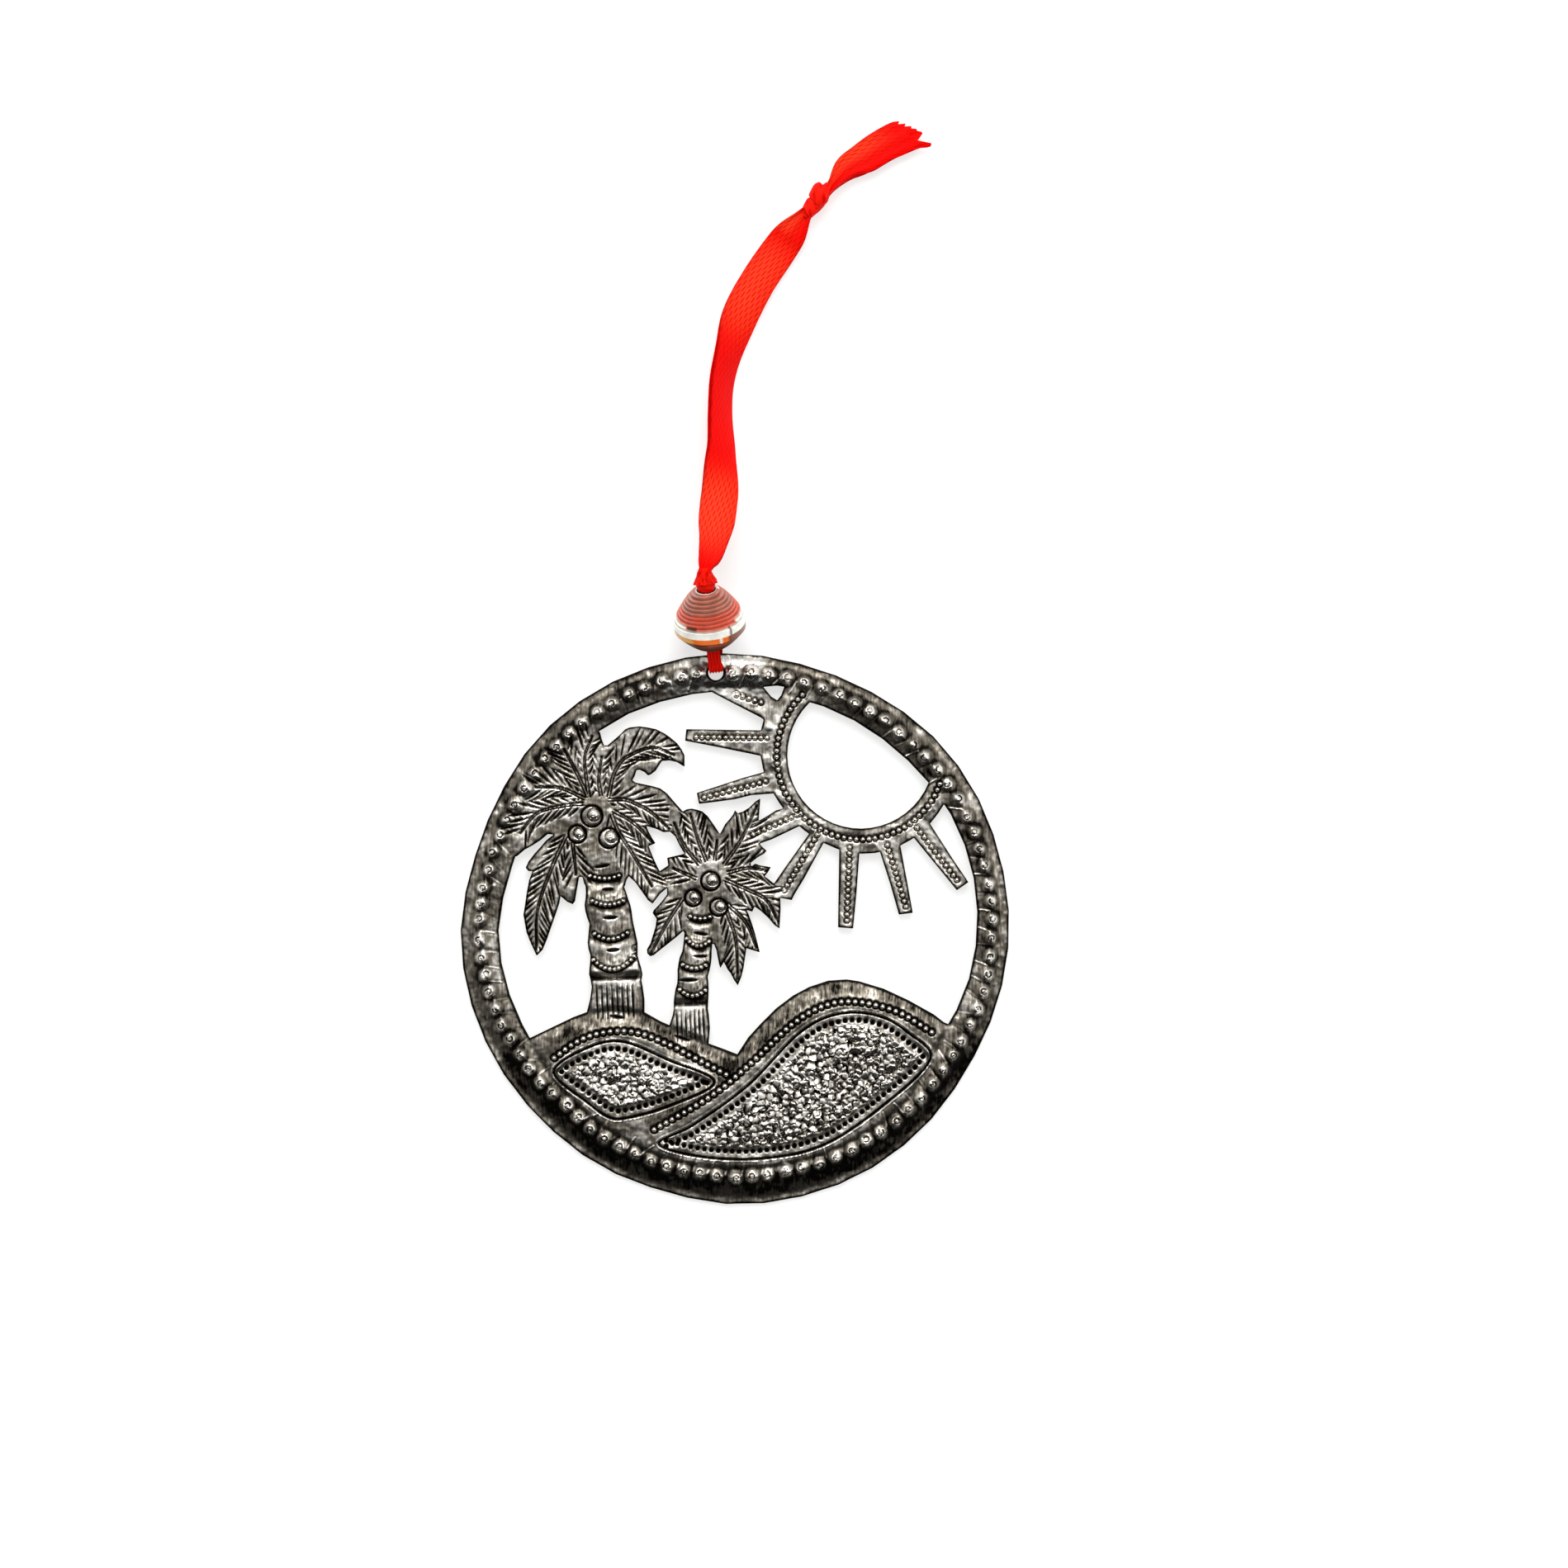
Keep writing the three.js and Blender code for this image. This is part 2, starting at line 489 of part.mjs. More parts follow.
// The hills: a crowned sheet from the skyline down to the inside of the rim's crest, lowered
// by a drop
function hillSheet(drop) {
  const rows = skyline.map(([x, y], i) => {
    const angle = THREE.MathUtils.lerp(hillStart, hillEnd, i / (skyline.length - 1));
    const top = new THREE.Vector3(fit * x, fit * y, 0);
    const foot = polar(aroundRim(crestRadii, angle) - sheet / 2, angle, 0);
    const crown = hillCrown * Math.min(1, top.distanceTo(foot) / hillCrownReach);
    const heights = [
      [0, sceneRise - sheet / 20],
      [0.14, sceneRise + 0.8 * crown],
      [0.35, sceneRise + crown],
      [0.7, sceneRise + 0.9 * crown],
      [1, crestRise - sheet / 9],
    ];
    return heights.map(([across, height]) => top.clone().lerp(foot, across).setZ(height - drop));
  });
  return embossed(rows);
}

// A clockwise outline moved outward by a margin, each point square to the line of its neighbours
function grown(outline, margin) {
  return outline.map(([x, y], i) => {
    const before = outline.at(i - 1);
    const after = outline[(i + 1) % outline.length];
    const along = new THREE.Vector2(after[0] - before[0], after[1] - before[1]).normalize();
    return [x - margin * along.y, y + margin * along.x];
  });
}

// The panels' sunk sheet reaches a little under the raised sheet round it, and joins it there
function hills() {
  let raised = hillSheet(0);
  for (const outline of [leftPanel, rightPanel]) {
    raised = raised.subtract(piercing(outline));
    raised = raised.add(hillSheet(panelDrop).intersect(piercing(grown(outline, panelLap))));
  }
  return raised;
}

const holeCentre = polar(aroundRim(crestRadii, holeAngle), holeAngle, 0);

function hangingHole() {
  const drill = new THREE.CylinderGeometry(holeRadius, holeRadius, cutDepth, holeSides);
  return solidOf(drill.rotateX(Math.PI / 2).translate(holeCentre.x, holeCentre.y, 0));
}

// The pierced and embossed steel disc, one piece of sheet
function steelPanel() {
  let solid = rim();
  const motifs = [
    hills(), crowns(), sun(), trunk(leftTrunk, leftLips), trunk(rightTrunk, rightLips),
    ...coconuts.map(coconut), ...bosses(),
  ];
  for (const motif of motifs) {
    solid = solid.add(motif);
  }
  return geometryOf(solid.subtract(piercing(sunGap)).subtract(hangingHole()));
}

// The bead's lower end, by its distance out from the hole and its height. The bead rests on the
// lower edge of its widest turns.
const beadRadius = beadDiameter / 2;
const beadLength = beadLowerCone + beadBandLength + beadUpperCone;
const bandEdgeHeight = tableGap + beadRadius * Math.cos(beadTilt);
const beadLowEnd = new THREE.Vector2(
  strapReach, bandEdgeHeight - beadLowerCone * Math.sin(beadTilt),
);
const beadAxis = new THREE.Vector2(Math.cos(beadTilt), Math.sin(beadTilt));
const acrossBead = new THREE.Vector2(-Math.sin(beadTilt), Math.cos(beadTilt));

// A flat ribbon along points: at each one its width, its roll and its shift off the middle
function ribbonAlong(stations, thickness) {
  const rings = stations.map(({ point, along, width, roll, shift }) => {
    const level = new THREE.Vector3(0, 0, 1).cross(along).normalize();
    const side = level.applyAxisAngle(along, roll);
    const face = along.clone().cross(side).normalize();
    const middle = point.clone().addScaledVector(face, shift);
    const corner = (across, up) => middle.clone()
      .addScaledVector(side, across * width / 2)
      .addScaledVector(face, up * thickness / 2);
    return [corner(-1, -1), corner(1, -1), corner(1, 1), corner(-1, 1)];
  });
  return loft(rings);
}

// The height of a pair of ribbons that lies on the table, at a roll and a width
function lyingHeight(roll, width) {
  const flat = (ribbonThickness + touchGap / 2) * Math.cos(roll);
  return touchGap + flat + (width / 2) * Math.sin(roll);
}

// Even stations on a smooth curve through a route's points, each end at its own knot's height
function stationsOn(route, startHeight, endHeight, count, share, shift) {
  const narrowing = ribbonWidth / drawnRibbonWidth;
  const rows = route.map(([x, y, raised, degrees, across], i) => {
    const roll = THREE.MathUtils.degToRad(degrees);
    const width = across * narrowing;
    const knotHeight = i < route.length / 2 ? startHeight : endHeight;
    const height = THREE.MathUtils.lerp(lyingHeight(roll, width), knotHeight, raised);
    const point = new THREE.Vector3(neckKnotTop.x + x, neckKnotTop.y + y, height);
    return { point, roll, width };
  });
  const curve = new THREE.CatmullRomCurve3(rows.map((row) => row.point), false, "centripetal");
  const between = (name, t) => {
    const place = t * (rows.length - 1);
    const k = Math.min(Math.floor(place), rows.length - 2);
    return THREE.MathUtils.lerp(rows[k][name], rows[k + 1][name], place - k);
  };
  const stations = [];
  for (let i = 0; i <= count; i += 1) {
    const t = (share * i) / count;
    stations.push({
      point: curve.getPoint(t),
      along: curve.getTangent(t),
      width: between("width", t),
      roll: between("roll", t),
      shift,
    });
  }
  return stations;
}

// The ribbon's bight: from the bead over the rim, down the hole, and back under the lifted edge
function strapGeometry() {
  const half = strapThickness / 2;
  const stand = touchGap + half; // from the steel to the strap's middle
  const faceTop = crestRise + sheet;
  const edgeTop = edgeLift + sheet;
  const under = edgeLift - stand;
  const end = (offset) => beadLowEnd.clone()
    .addScaledVector(acrossBead, offset)
    .addScaledVector(beadAxis, -1.5 * touchGap);
  const front = end(strandRadius / 2);
  const back = end(-strandRadius / 2);
  const rimReach = aroundRim(outerRadii, holeAngle) - aroundRim(crestRadii, holeAngle);
  const inHole = strapWidth * strapHoleShare;
  // Distance out from the hole, height and width at each point
  const route = [
    [front.x, front.y, strapWidth],
    [rimReach - strapSlack, Math.max(edgeTop + stand, front.y) + strapSlack, strapWidth],
    [rimReach / 2, faceTop + stand, strapWidth],
    [0.7 * holeRadius, faceTop + stand + strapSlack / 3, inHole],
    [0.27 * holeRadius, faceTop + strapSlack / 2, inHole],
    [0.15 * holeRadius, faceTop - sheet / 2, inHole],
    [0.23 * holeRadius, crestRise - strapSlack, inHole],
    [0.6 * holeRadius, crestRise - stand - strapSlack, inHole],
    [1.5 * holeRadius, under, strapWidth],
    [rimReach + strapSlack, under, strapWidth],
    [(rimReach + back.x) / 2 + 1.5 * strapSlack, (under + back.y) / 2, strapWidth],
    [back.x, back.y, strapWidth],
  ];
  const curve = new THREE.CatmullRomCurve3(
    route.map(([y, z]) => new THREE.Vector3(0, y, z)), false, "centripetal",
  );
  const rings = [];
  for (let i = 0; i <= strapSections; i += 1) {
    const t = i / strapSections;
    const point = curve.getPoint(t);
    const along = curve.getTangent(t);
    const place = t * (route.length - 1);
    const k = Math.min(Math.floor(place), route.length - 2);
    const width = THREE.MathUtils.lerp(route[k][2], route[k + 1][2], place - k);
    const side = new THREE.Vector3(width / 2, 0, 0);
    const face = new THREE.Vector3(1, 0, 0).cross(along).setLength(half);
    const corner = (across, up) => point.clone()
      .addScaledVector(side, across)
      .addScaledVector(face, up);
    rings.push([corner(-1, -1), corner(1, -1), corner(1, 1), corner(-1, 1)]);
  }
  return loft(rings);
}

// The ribbon gathered through the bore, from the strap to the neck knot
function neckGeometry() {
  return new THREE.CylinderGeometry(strandRadius, strandRadius, beadLength, strandSides)
    .translate(0, beadLength / 2, 0);
}

// An overhand knot seen as a lump: two turns wound round the strands
function knotGeometry(radius, length) {
  const profile = [
    [0, 0], [0.82, 0.02], [0.95, 0.14], [1, 0.3], [0.86, 0.46], [0.97, 0.62], [0.84, 0.82],
    [0.45, 0.98], [0, 1],
  ];
  return new THREE.LatheGeometry(
    profile.map(([r, along]) => new THREE.Vector2(r * radius, along * length)), knotSides,
  );
}

// The rolled-paper bead: a strip that narrows, so its turns leave steps on both cones
function beadGeometry() {
  // A cone's steps from the bore out, by radius and distance from its own end
  const steps = (coneLength) => {
    const profile = [[beadBoreRadius, 0]];
    for (let k = 0; k < beadSteps; k += 1) {
      const out = Math.pow(k / beadSteps, coneRoundness);
      const radius = THREE.MathUtils.lerp(beadEndDiameter / 2, beadRadius, out);
      profile.push([radius, (coneLength * k) / beadSteps]);
      profile.push([radius, (coneLength * (k + 1)) / beadSteps]);
    }
    return [...profile, [beadRadius, coneLength]];
  };
  const lower = steps(beadLowerCone);
  const upper = steps(beadUpperCone).map(([r, along]) => [r, beadLength - along]).reverse();
  const loop = [...lower, ...upper, lower[0]];
  return new THREE.LatheGeometry(loop.map(([r, along]) => new THREE.Vector2(r, along)), beadSides);
}

// A group at the hanging hole, turned so that +Y is the way to the bead
function hangerGroup() {
  const group = new THREE.Group();
  group.position.copy(holeCentre);
  group.rotation.z = hangHeading - Math.PI / 2;
  return group;
}

// Its child at the bead's lower end, with +Y along the bead's axis
function beadGroup() {
  const group = new THREE.Group();
  group.position.set(0, beadLowEnd.x, beadLowEnd.y);
  group.rotation.x = beadTilt;
  return group;
}

const ornament = new THREE.Group();
ornament.add(namedMesh("steel_panel", steelPanel(), steel));

const hanger = hangerGroup();
const onBead = beadGroup();
hanger.add(namedMesh("ribbon_strap", strapGeometry(), satin));
onBead.add(namedMesh("ribbon_neck", neckGeometry(), satin));
onBead.add(namedMesh("paper_bead", beadGeometry(), paper));
const neckKnot = namedMesh("neck_knot", knotGeometry(neckKnotRadius, neckKnotLength), satin);
const neckKnotStart = beadLength + touchGap;
neckKnot.position.y = neckKnotStart;
onBead.add(neckKnot);
hanger.add(onBead);
ornament.add(hanger);

// The loop's two legs, one above the other, run to the end knot, and the tails on from it
ornament.updateMatrixWorld(true);
const neckKnotTop = new THREE.Vector3(0, neckKnotStart + neckKnotLength, 0)
  .applyMatrix4(onBead.matrixWorld);
const endKnotHeight = endKnotRadius + touchGap;
const apart = (ribbonThickness + touchGap) / 2;
const layers = [["front", apart, 1], ["back", -apart, shortTail]];
const legEnd = new THREE.Vector3();
const tailStart = new THREE.Vector3();
for (const [side, shift, share] of layers) {
  const leg = stationsOn(legRoute, neckKnotTop.z, endKnotHeight, legSections, 1, shift);
  const tail = stationsOn(tailRoute, endKnotHeight, endKnotHeight, tailSections, share, shift);
  ornament.add(namedMesh(`ribbon_leg_${side}`, ribbonAlong(leg, ribbonThickness), satin));
  ornament.add(namedMesh(`ribbon_tail_${side}`, ribbonAlong(tail, ribbonThickness), satin));
  legEnd.copy(leg.at(-1).point);
  tailStart.copy(tail[0].point);
}

// The end knot fills the space between them
const knotWay = tailStart.clone().sub(legEnd);
const endKnotLength = knotWay.length() - 2 * touchGap;
knotWay.normalize();
const endKnot = namedMesh("end_knot", knotGeometry(endKnotRadius, endKnotLength), satin);
endKnot.position.copy(legEnd).addScaledVector(knotWay, touchGap);
endKnot.quaternion.setFromUnitVectors(new THREE.Vector3(0, 1, 0), knotWay);
ornament.add(endKnot);

export default ornament;
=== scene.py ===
# %% [markdown]
# # A pierced steel ornament: palms, a sun and hills
#
# A disc of thin drum steel. Its scene is cut out with a chisel, then hammered over a soft bed:
# bosses and rows of dots are punched up, veins and grooves are cut in. It hangs on a doubled
# satin ribbon that goes through a rolled-paper bead and is knotted above it.
#
# The frame, its bodies and joints come packed from CAD. This script gives each piece its looks.

import math

import bpy
import numpy as np
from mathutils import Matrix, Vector
from mathutils.bvhtree import BVHTree


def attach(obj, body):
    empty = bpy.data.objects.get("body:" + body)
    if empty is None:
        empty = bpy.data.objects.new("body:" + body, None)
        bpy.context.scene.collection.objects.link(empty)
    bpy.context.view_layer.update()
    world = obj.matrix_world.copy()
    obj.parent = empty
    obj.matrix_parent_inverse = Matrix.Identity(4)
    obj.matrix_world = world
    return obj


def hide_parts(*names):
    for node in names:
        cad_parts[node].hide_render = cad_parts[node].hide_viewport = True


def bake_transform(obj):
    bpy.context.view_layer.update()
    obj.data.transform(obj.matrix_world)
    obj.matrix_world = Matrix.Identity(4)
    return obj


MM = 0.001
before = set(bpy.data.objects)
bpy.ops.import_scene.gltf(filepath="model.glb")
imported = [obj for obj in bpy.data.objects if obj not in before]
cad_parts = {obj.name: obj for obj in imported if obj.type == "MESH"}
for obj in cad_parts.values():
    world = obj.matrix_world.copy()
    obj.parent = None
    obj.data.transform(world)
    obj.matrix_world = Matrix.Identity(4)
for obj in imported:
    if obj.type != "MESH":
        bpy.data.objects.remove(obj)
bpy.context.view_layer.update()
print("nodes:", sorted(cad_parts))

# %% [markdown]
# ## Camera
#
# The photograph looks straight down. The ornament's scale in it (7 pixels to a millimetre, in
# a square of 1899) and its soft perspective put the camera about 600 mm above the table.

# %% Camera
PHOTO_SIZE = 1899
PIXELS_PER_MM = 7.0
CAMERA_XY = (8.57, 25.14)
CAMERA_HEIGHT = 600.0


def add_object(name, data):
    obj = bpy.data.objects.new(name, data)
    bpy.context.scene.collection.objects.link(obj)
    return obj


def add_camera():
    """A camera that frames, at the height of the table, what the photograph frames."""
    data = bpy.data.cameras.new("camera")
    data.angle = 2 * math.atan(PHOTO_SIZE / PIXELS_PER_MM / 2 / CAMERA_HEIGHT)
    data.clip_start = 0.01
    data.clip_end = 20
    camera = add_object("camera", data)
    camera.location = Vector((*CAMERA_XY, CAMERA_HEIGHT)) * MM
    bpy.context.scene.camera = camera
    return camera


camera = add_camera()
bpy.context.scene.view_settings.view_transform = "Standard"
print("camera angle:", round(math.degrees(camera.data.angle), 2), "degrees")

# %% [markdown]
# ## Shader nodes
#
# Materials and the room are built from nodes, each added and joined in one call.


# %% Shader nodes
def node_adder(owner):
    """Empties the node tree of a material or world, and gives a function that adds to it."""
    owner.use_nodes = True
    tree = owner.node_tree
    tree.nodes.clear()

    def add(kind, *values, **named):
        """One node. Values go to its sockets in order, or by name; a name in lower case is a
        setting's. Each is a plain value, a socket, or a node, which stands for its first output."""
        node = tree.nodes.new("ShaderNode" + kind)
        for name, value in named.items():
            if name.islower():
                setattr(node, name, value)
        by_name = {name.replace("_", " "): v for name, v in named.items() if not name.islower()}
        sockets = [*zip(node.inputs, values), *((node.inputs[name], v) for name, v in by_name.items())]
        for socket, value in sockets:
            source = value.outputs[0] if isinstance(value, bpy.types.Node) else value
            if isinstance(source, bpy.types.NodeSocket):
                tree.links.new(source, socket)
            else:
                socket.default_value = source
        return node

    return add


def new_material(name):
    material = bpy.data.materials.new(name)
    return material, node_adder(material)


def colour_ramp(add, share, stops):
    """Colours blended between stops of a position and a colour, from low to high."""
    ramp = add("ValToRGB", share)
    elements = ramp.color_ramp.elements
    elements[0].position, elements[1].position = stops[0][0], stops[-1][0]
    for position, _ in stops[1:-1]:
        elements.new(position)
    for element, (_, colour) in zip(elements, stops):
        element.color = (*colour, 1)
    return ramp


def noise(add, place, scale, detail):
    return add("TexNoise", Vector=place, Scale=scale, Detail=detail)


def ranged(add, value, low, high, to_low, to_high):
    """A value from low to high, carried over to another range and held at its ends."""
    return add("MapRange", Value=value, From_Min=low, From_Max=high, To_Min=to_low, To_Max=to_high)


print("shader helpers ready")

# %% [markdown]
# ## Table and light
#
# A white table under a big soft light from the top of the picture, a weaker one from the right,
# and a pale surround. Steel shows what it mirrors, so the lights are broad panels: they draw
# the bright slopes, and the sides turned from them stay dark. A faint fill from below lights
# cloth and paper only: reflections don't show it.

# %% Table and light
TABLE_HALF = 5.0
TABLE_GLOW_SHARE = 0.62
LAMPS_AIM_AT = Vector((0.005, 0.03, 0))
# The room's grey by height in the picture: 0 at the bottom, 1 at the top
ROOM_STOPS = [(0.3, [0.003] * 3), (0.49, [0.58] * 3), (0.75, [0.84] * 3)]


def add_table():
    """A floor that looks white to the camera and in mirrors, and holds the soft shadows."""
    material, add = new_material("table_white")
    white = (0.96, 0.96, 0.96, 1)
    surface = add("BsdfPrincipled", Base_Color=white, Roughness=0.9, Specular_IOR_Level=0.1)
    glow = add("Emission", Color=(1, 0.995, 0.985, 1), Strength=1.05)
    rays = add("LightPath").outputs
    seen = add("Math", rays["Is Camera Ray"], rays["Is Glossy Ray"], operation="ADD")
    share = add("Math", seen, TABLE_GLOW_SHARE, operation="MULTIPLY")
    add("OutputMaterial", Surface=add("MixShader", share, surface, glow))
    mesh = bpy.data.meshes.new("table")
    corners = [(x * TABLE_HALF, y * TABLE_HALF, 0) for x, y in ((-1, -1), (1, -1), (1, 1), (-1, 1))]
    mesh.from_pydata(corners, [], [(0, 1, 2, 3)])
    mesh.materials.append(material)
    table = add_object("table", mesh)


def add_panel_light(name, place, size, power):
    """A square lamp panel, in metres, turned towards the middle of the ornament."""
    data = bpy.data.lights.new(name, "AREA")
    data.size = size
    data.energy = power
    lamp = add_object(name, data)
    lamp.location = place
    lamp.rotation_mode = "QUATERNION"
    lamp.rotation_quaternion = (LAMPS_AIM_AT - Vector(place)).to_track_quat("-Z", "Y")
    return lamp


def add_surround(strength):
    """A room that is bright towards the top of the picture and dark towards its bottom."""
    world = bpy.data.worlds.new("surround")
    bpy.context.scene.world = world
    add = node_adder(world)
    parts = add("SeparateXYZ", add("TexCoord").outputs["Generated"]).outputs
    share = ranged(add, parts["Y"], -1, 1, 0, 1)
    background = add("Background", colour_ramp(add, share, ROOM_STOPS), Strength=strength)
    add("OutputWorld", Surface=background)


add_table()
add_surround(1.1)
add_panel_light("key", (0.0, 0.75, 0.75), 0.7, 9.5)
add_panel_light("side", (0.8, 0.1, 0.6), 0.5, 1.6)
fill = add_panel_light("fill", (0.0, -0.7, 0.5), 0.6, 3.0)
fill.visible_glossy = False

# %% [markdown]
# ## Building blocks
#
# Most pieces here are skins: rings of points joined by quads. A ring goes along one side of
# the stuff and back along the other, so a strip of quads closes each end.


# %% Building blocks
def add_mesh(name, points_mm, faces, material, smooth_below=55):
    """A named object from points in millimetres, shaded smooth except at sharper angles."""
    mesh = bpy.data.meshes.new(name)
    mesh.from_pydata([tuple(p) for p in np.asarray(points_mm) * MM], [], faces)
    mesh.validate()
    mesh.shade_smooth()
    mesh.set_sharp_from_angle(angle=math.radians(smooth_below))
    mesh.materials.append(material)
    return add_object(name, mesh)


def add_attribute(obj, name, values):
    """One number for each vertex, for a material to read."""
    layer = obj.data.attributes.new(name, "FLOAT", "POINT")
    layer.data.foreach_set("value", np.asarray(values, dtype=np.float32))


def skin_faces(rows, count, closed_rows=False):
    """Quads over rows of `count` points each, round each row and from row to row. Open rows
    are closed at both ends by a strip between the first and the second half of the row."""
    faces = []
    for i in range(rows if closed_rows else rows - 1):
        here, there = i * count, ((i + 1) % rows) * count
        for j in range(count):
            k = (j + 1) % count
            faces.append((here + j, there + j, there + k, here + k))
    if not closed_rows:
        last = (rows - 1) * count
        for j in range(count // 2 - 1):
            faces.append((j, j + 1, count - 2 - j, count - 1 - j))
            faces.append((last + j, last + count - 1 - j, last + count - 2 - j, last + j + 1))
    return faces


def unit(v):
    v = np.asarray(v, dtype=float)
    return v / np.maximum(np.linalg.norm(v, axis=-1, keepdims=True), 1e-12)


def run_along(points):
    """The distance along a line of points, at each of them."""
    return np.r_[0, np.cumsum(np.linalg.norm(np.diff(points, axis=0), axis=1))]


def curve_length(points):
    return float(run_along(points)[-1])


def spline(a, b, c, d, t):
    """Catmull-Rom: the curve from b to c at t from 0 to 1, with neighbours a and d."""
    return b + 0.5 * t * (c - a + t * (2 * a - 5 * b + 4 * c - d + t * (3 * (b - c) + d - a)))


def along_curve(points, count):
    """`count` places evenly along a smooth curve through points, of any number of columns, of
    which the first three are measured."""
    p = np.asarray(points, dtype=float)
    padded = np.vstack([2 * p[0] - p[1], p, 2 * p[-1] - p[-2]])
    t = np.linspace(0, 1, 24, endpoint=False)[:, None]
    fine = np.vstack([*(spline(*padded[i : i + 4], t) for i in range(len(p) - 1)), p[-1:]])
    run = run_along(fine[:, :3])
    at = np.linspace(0, run[-1], count)
    return np.stack([np.interp(at, run, column) for column in fine.T], axis=1)


def closed_curve(points, per_span=8):
    """A smooth closed outline through points."""
    p = np.asarray(points, dtype=float)
    t = np.linspace(0, 1, per_span, endpoint=False)[:, None, None]
    spans = spline(np.roll(p, 1, 0), p, np.roll(p, -1, 0), np.roll(p, -2, 0), t)
    return spans.transpose(1, 0, 2).reshape(-1, p.shape[1])


def full_turn(count):
    return np.linspace(0, 2 * math.pi, count, endpoint=False)


def direction(angle, first, second):
    """The direction at an angle from `first` towards `second`."""
    return np.cos(angle)[..., None] * first + np.sin(angle)[..., None] * second


print("building blocks ready")

# %% [markdown]
# ## The steel: a height field
#
# Seen from the front, hammered sheet has one height at each place, so its face is a fine grid
# of heights. Its outline and its large forms are read off the CAD solid with rays from below:
# the underside, a little smoothed, plus the sheet's thickness. Everything struck into the
# sheet is then added to the grid, one tool mark at a time, as a smith would.

# %% Read the solid's underside
STEP = 0.15  # spacing of the grid
HALF = 48.6
SHEET = 0.9
RAY_START = -0.01
UP = Vector((0, 0, 1))
axis_mm = np.arange(-HALF, HALF + STEP / 2, STEP)
size = len(axis_mm)
grid_x, grid_y = np.meshgrid(axis_mm, axis_mm)


def ray_tree(node):
    corners = [node.matrix_world @ v.co for v in node.data.vertices]
    return BVHTree.FromPolygons(corners, [tuple(p.vertices) for p in node.data.polygons])


steel_tree = ray_tree(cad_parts["steel_panel"])


def underside(x, y):
    """Height of the sheet's back over a place, or nan beside the sheet."""
    hit = steel_tree.ray_cast(Vector((x * MM, y * MM, RAY_START)), UP)[0]
    return math.nan if hit is None else hit.z / MM


back = np.array([[underside(x, y) for x in axis_mm] for y in axis_mm])
inside = ~np.isnan(back)
print("steel area:", round(inside.sum() * STEP * STEP), "mm2 on a grid of", size)


# %% Smooth the large forms
def blur(field, sigma):
    """Gaussian mean of a field, by way of its spectrum."""
    f = np.fft.fftfreq(size, STEP)
    transfer = np.exp(-2 * (math.pi * sigma) ** 2 * (f[:, None] ** 2 + f[None, :] ** 2))
    return np.fft.ifft2(np.fft.fft2(field) * transfer).real


def blur_on_steel(field, sigma):
    """The same mean, taken over the steel only."""
    weight = blur(inside.astype(float), sigma)
    return blur(np.where(inside, field, 0), sigma) / np.maximum(weight, 1e-3)


back_form = blur_on_steel(back, 0.4)
relief, cuts, polish_and_shade = np.zeros((3, size, size))
print("back rises to", round(float(back_form[inside].max()), 2), "mm")

# %% [markdown]
# ## Tool marks
#
# Three marks make nearly everything. A round punch raises or sinks a dot: its height falls as
# the square of the distance from its middle. A tracer leaves a cut: its depth falls as a bell
# curve of the distance from its line. One blow of a chisel leaves a stroke, widest and deepest
# halfway. Forms add up in `relief`; where cuts meet in `cuts`, the deeper one counts. A third
# field holds what is rubbed bright or sooty, and also painted shade.

# %% Tool marks
rng = np.random.default_rng(7)


def window(points, reach):
    """The area of the grid within reach of some points."""
    p = np.atleast_2d(points)
    low = np.clip(np.floor((p.min(0) - reach + HALF) / STEP).astype(int), 0, size)
    high = np.clip(np.ceil((p.max(0) + reach + HALF) / STEP).astype(int) + 1, 0, size)
    return slice(low[1], high[1]), slice(low[0], high[0])


def offsets(place, area):
    """How far each grid place of an area lies from a place, in x and in y."""
    return grid_x[area] - place[0], grid_y[area] - place[1]


def spot_distance(place, area):
    return np.hypot(*offsets(place, area))


def line_distance(points, area):
    """Distance from each grid place of an area to a line of points."""
    p = np.asarray(points, dtype=float)
    best = np.inf
    for a, b in zip(p[:-1], p[1:]):
        x, y = offsets(a, area)
        way = b - a
        t = np.clip((x * way[0] + y * way[1]) / max(way @ way, 1e-9), 0, 1)
        best = np.minimum(best, np.hypot(x - t * way[0], y - t * way[1]))
    return best


def bell(distance, width, power=2):
    """exp(-(distance / width)^power)."""
    return np.exp(-((distance / width) ** power))


def deepen(field, area, depth):
    field[area] = np.maximum(field[area], depth)


def dot(place, radius, height):
    """A punched dot: height * (1 - (d / radius)^2), raised or sunk."""
    area = window(place, radius)
    relief[area] += height * np.clip(1 - (spot_distance(place, area) / radius) ** 2, 0, 1)


def valley(points, width, depth):
    """A soft hollow along a line."""
    area = window(points, 2.5 * width)
    relief[area] -= depth * bell(line_distance(points, area), width)


def groove(points, width, depth, field=cuts):
    """A tracer's cut."""
    area = window(points, 2.5 * width)
    deepen(field, area, depth * bell(line_distance(points, area), width))


def stroke(start, end, width, depth, field=cuts):
    """One chisel blow from start to end: its width and its depth follow sqrt(sin(pi t))."""
    start, end = np.asarray(start), np.asarray(end)
    area = window([start, end], 2.5 * width)
    x, y = offsets(start, area)
    way = end - start
    length = math.hypot(*way)
    t = np.clip((x * way[0] + y * way[1]) / length**2, 0, 1)
    aside = np.abs(x * way[1] - y * way[0]) / length
    swell = np.sqrt(np.clip(np.sin(math.pi * t), 0, 1))
    deepen(field, area, depth * swell * bell(aside, np.maximum(width * swell, 0.02)))


def ring_mark(place, radius, width, depth):
    """The mark of a hollow punch: a ring-shaped cut."""
    area = window(place, radius + 2 * width)
    deepen(cuts, area, depth * bell(spot_distance(place, area) - radius, width))


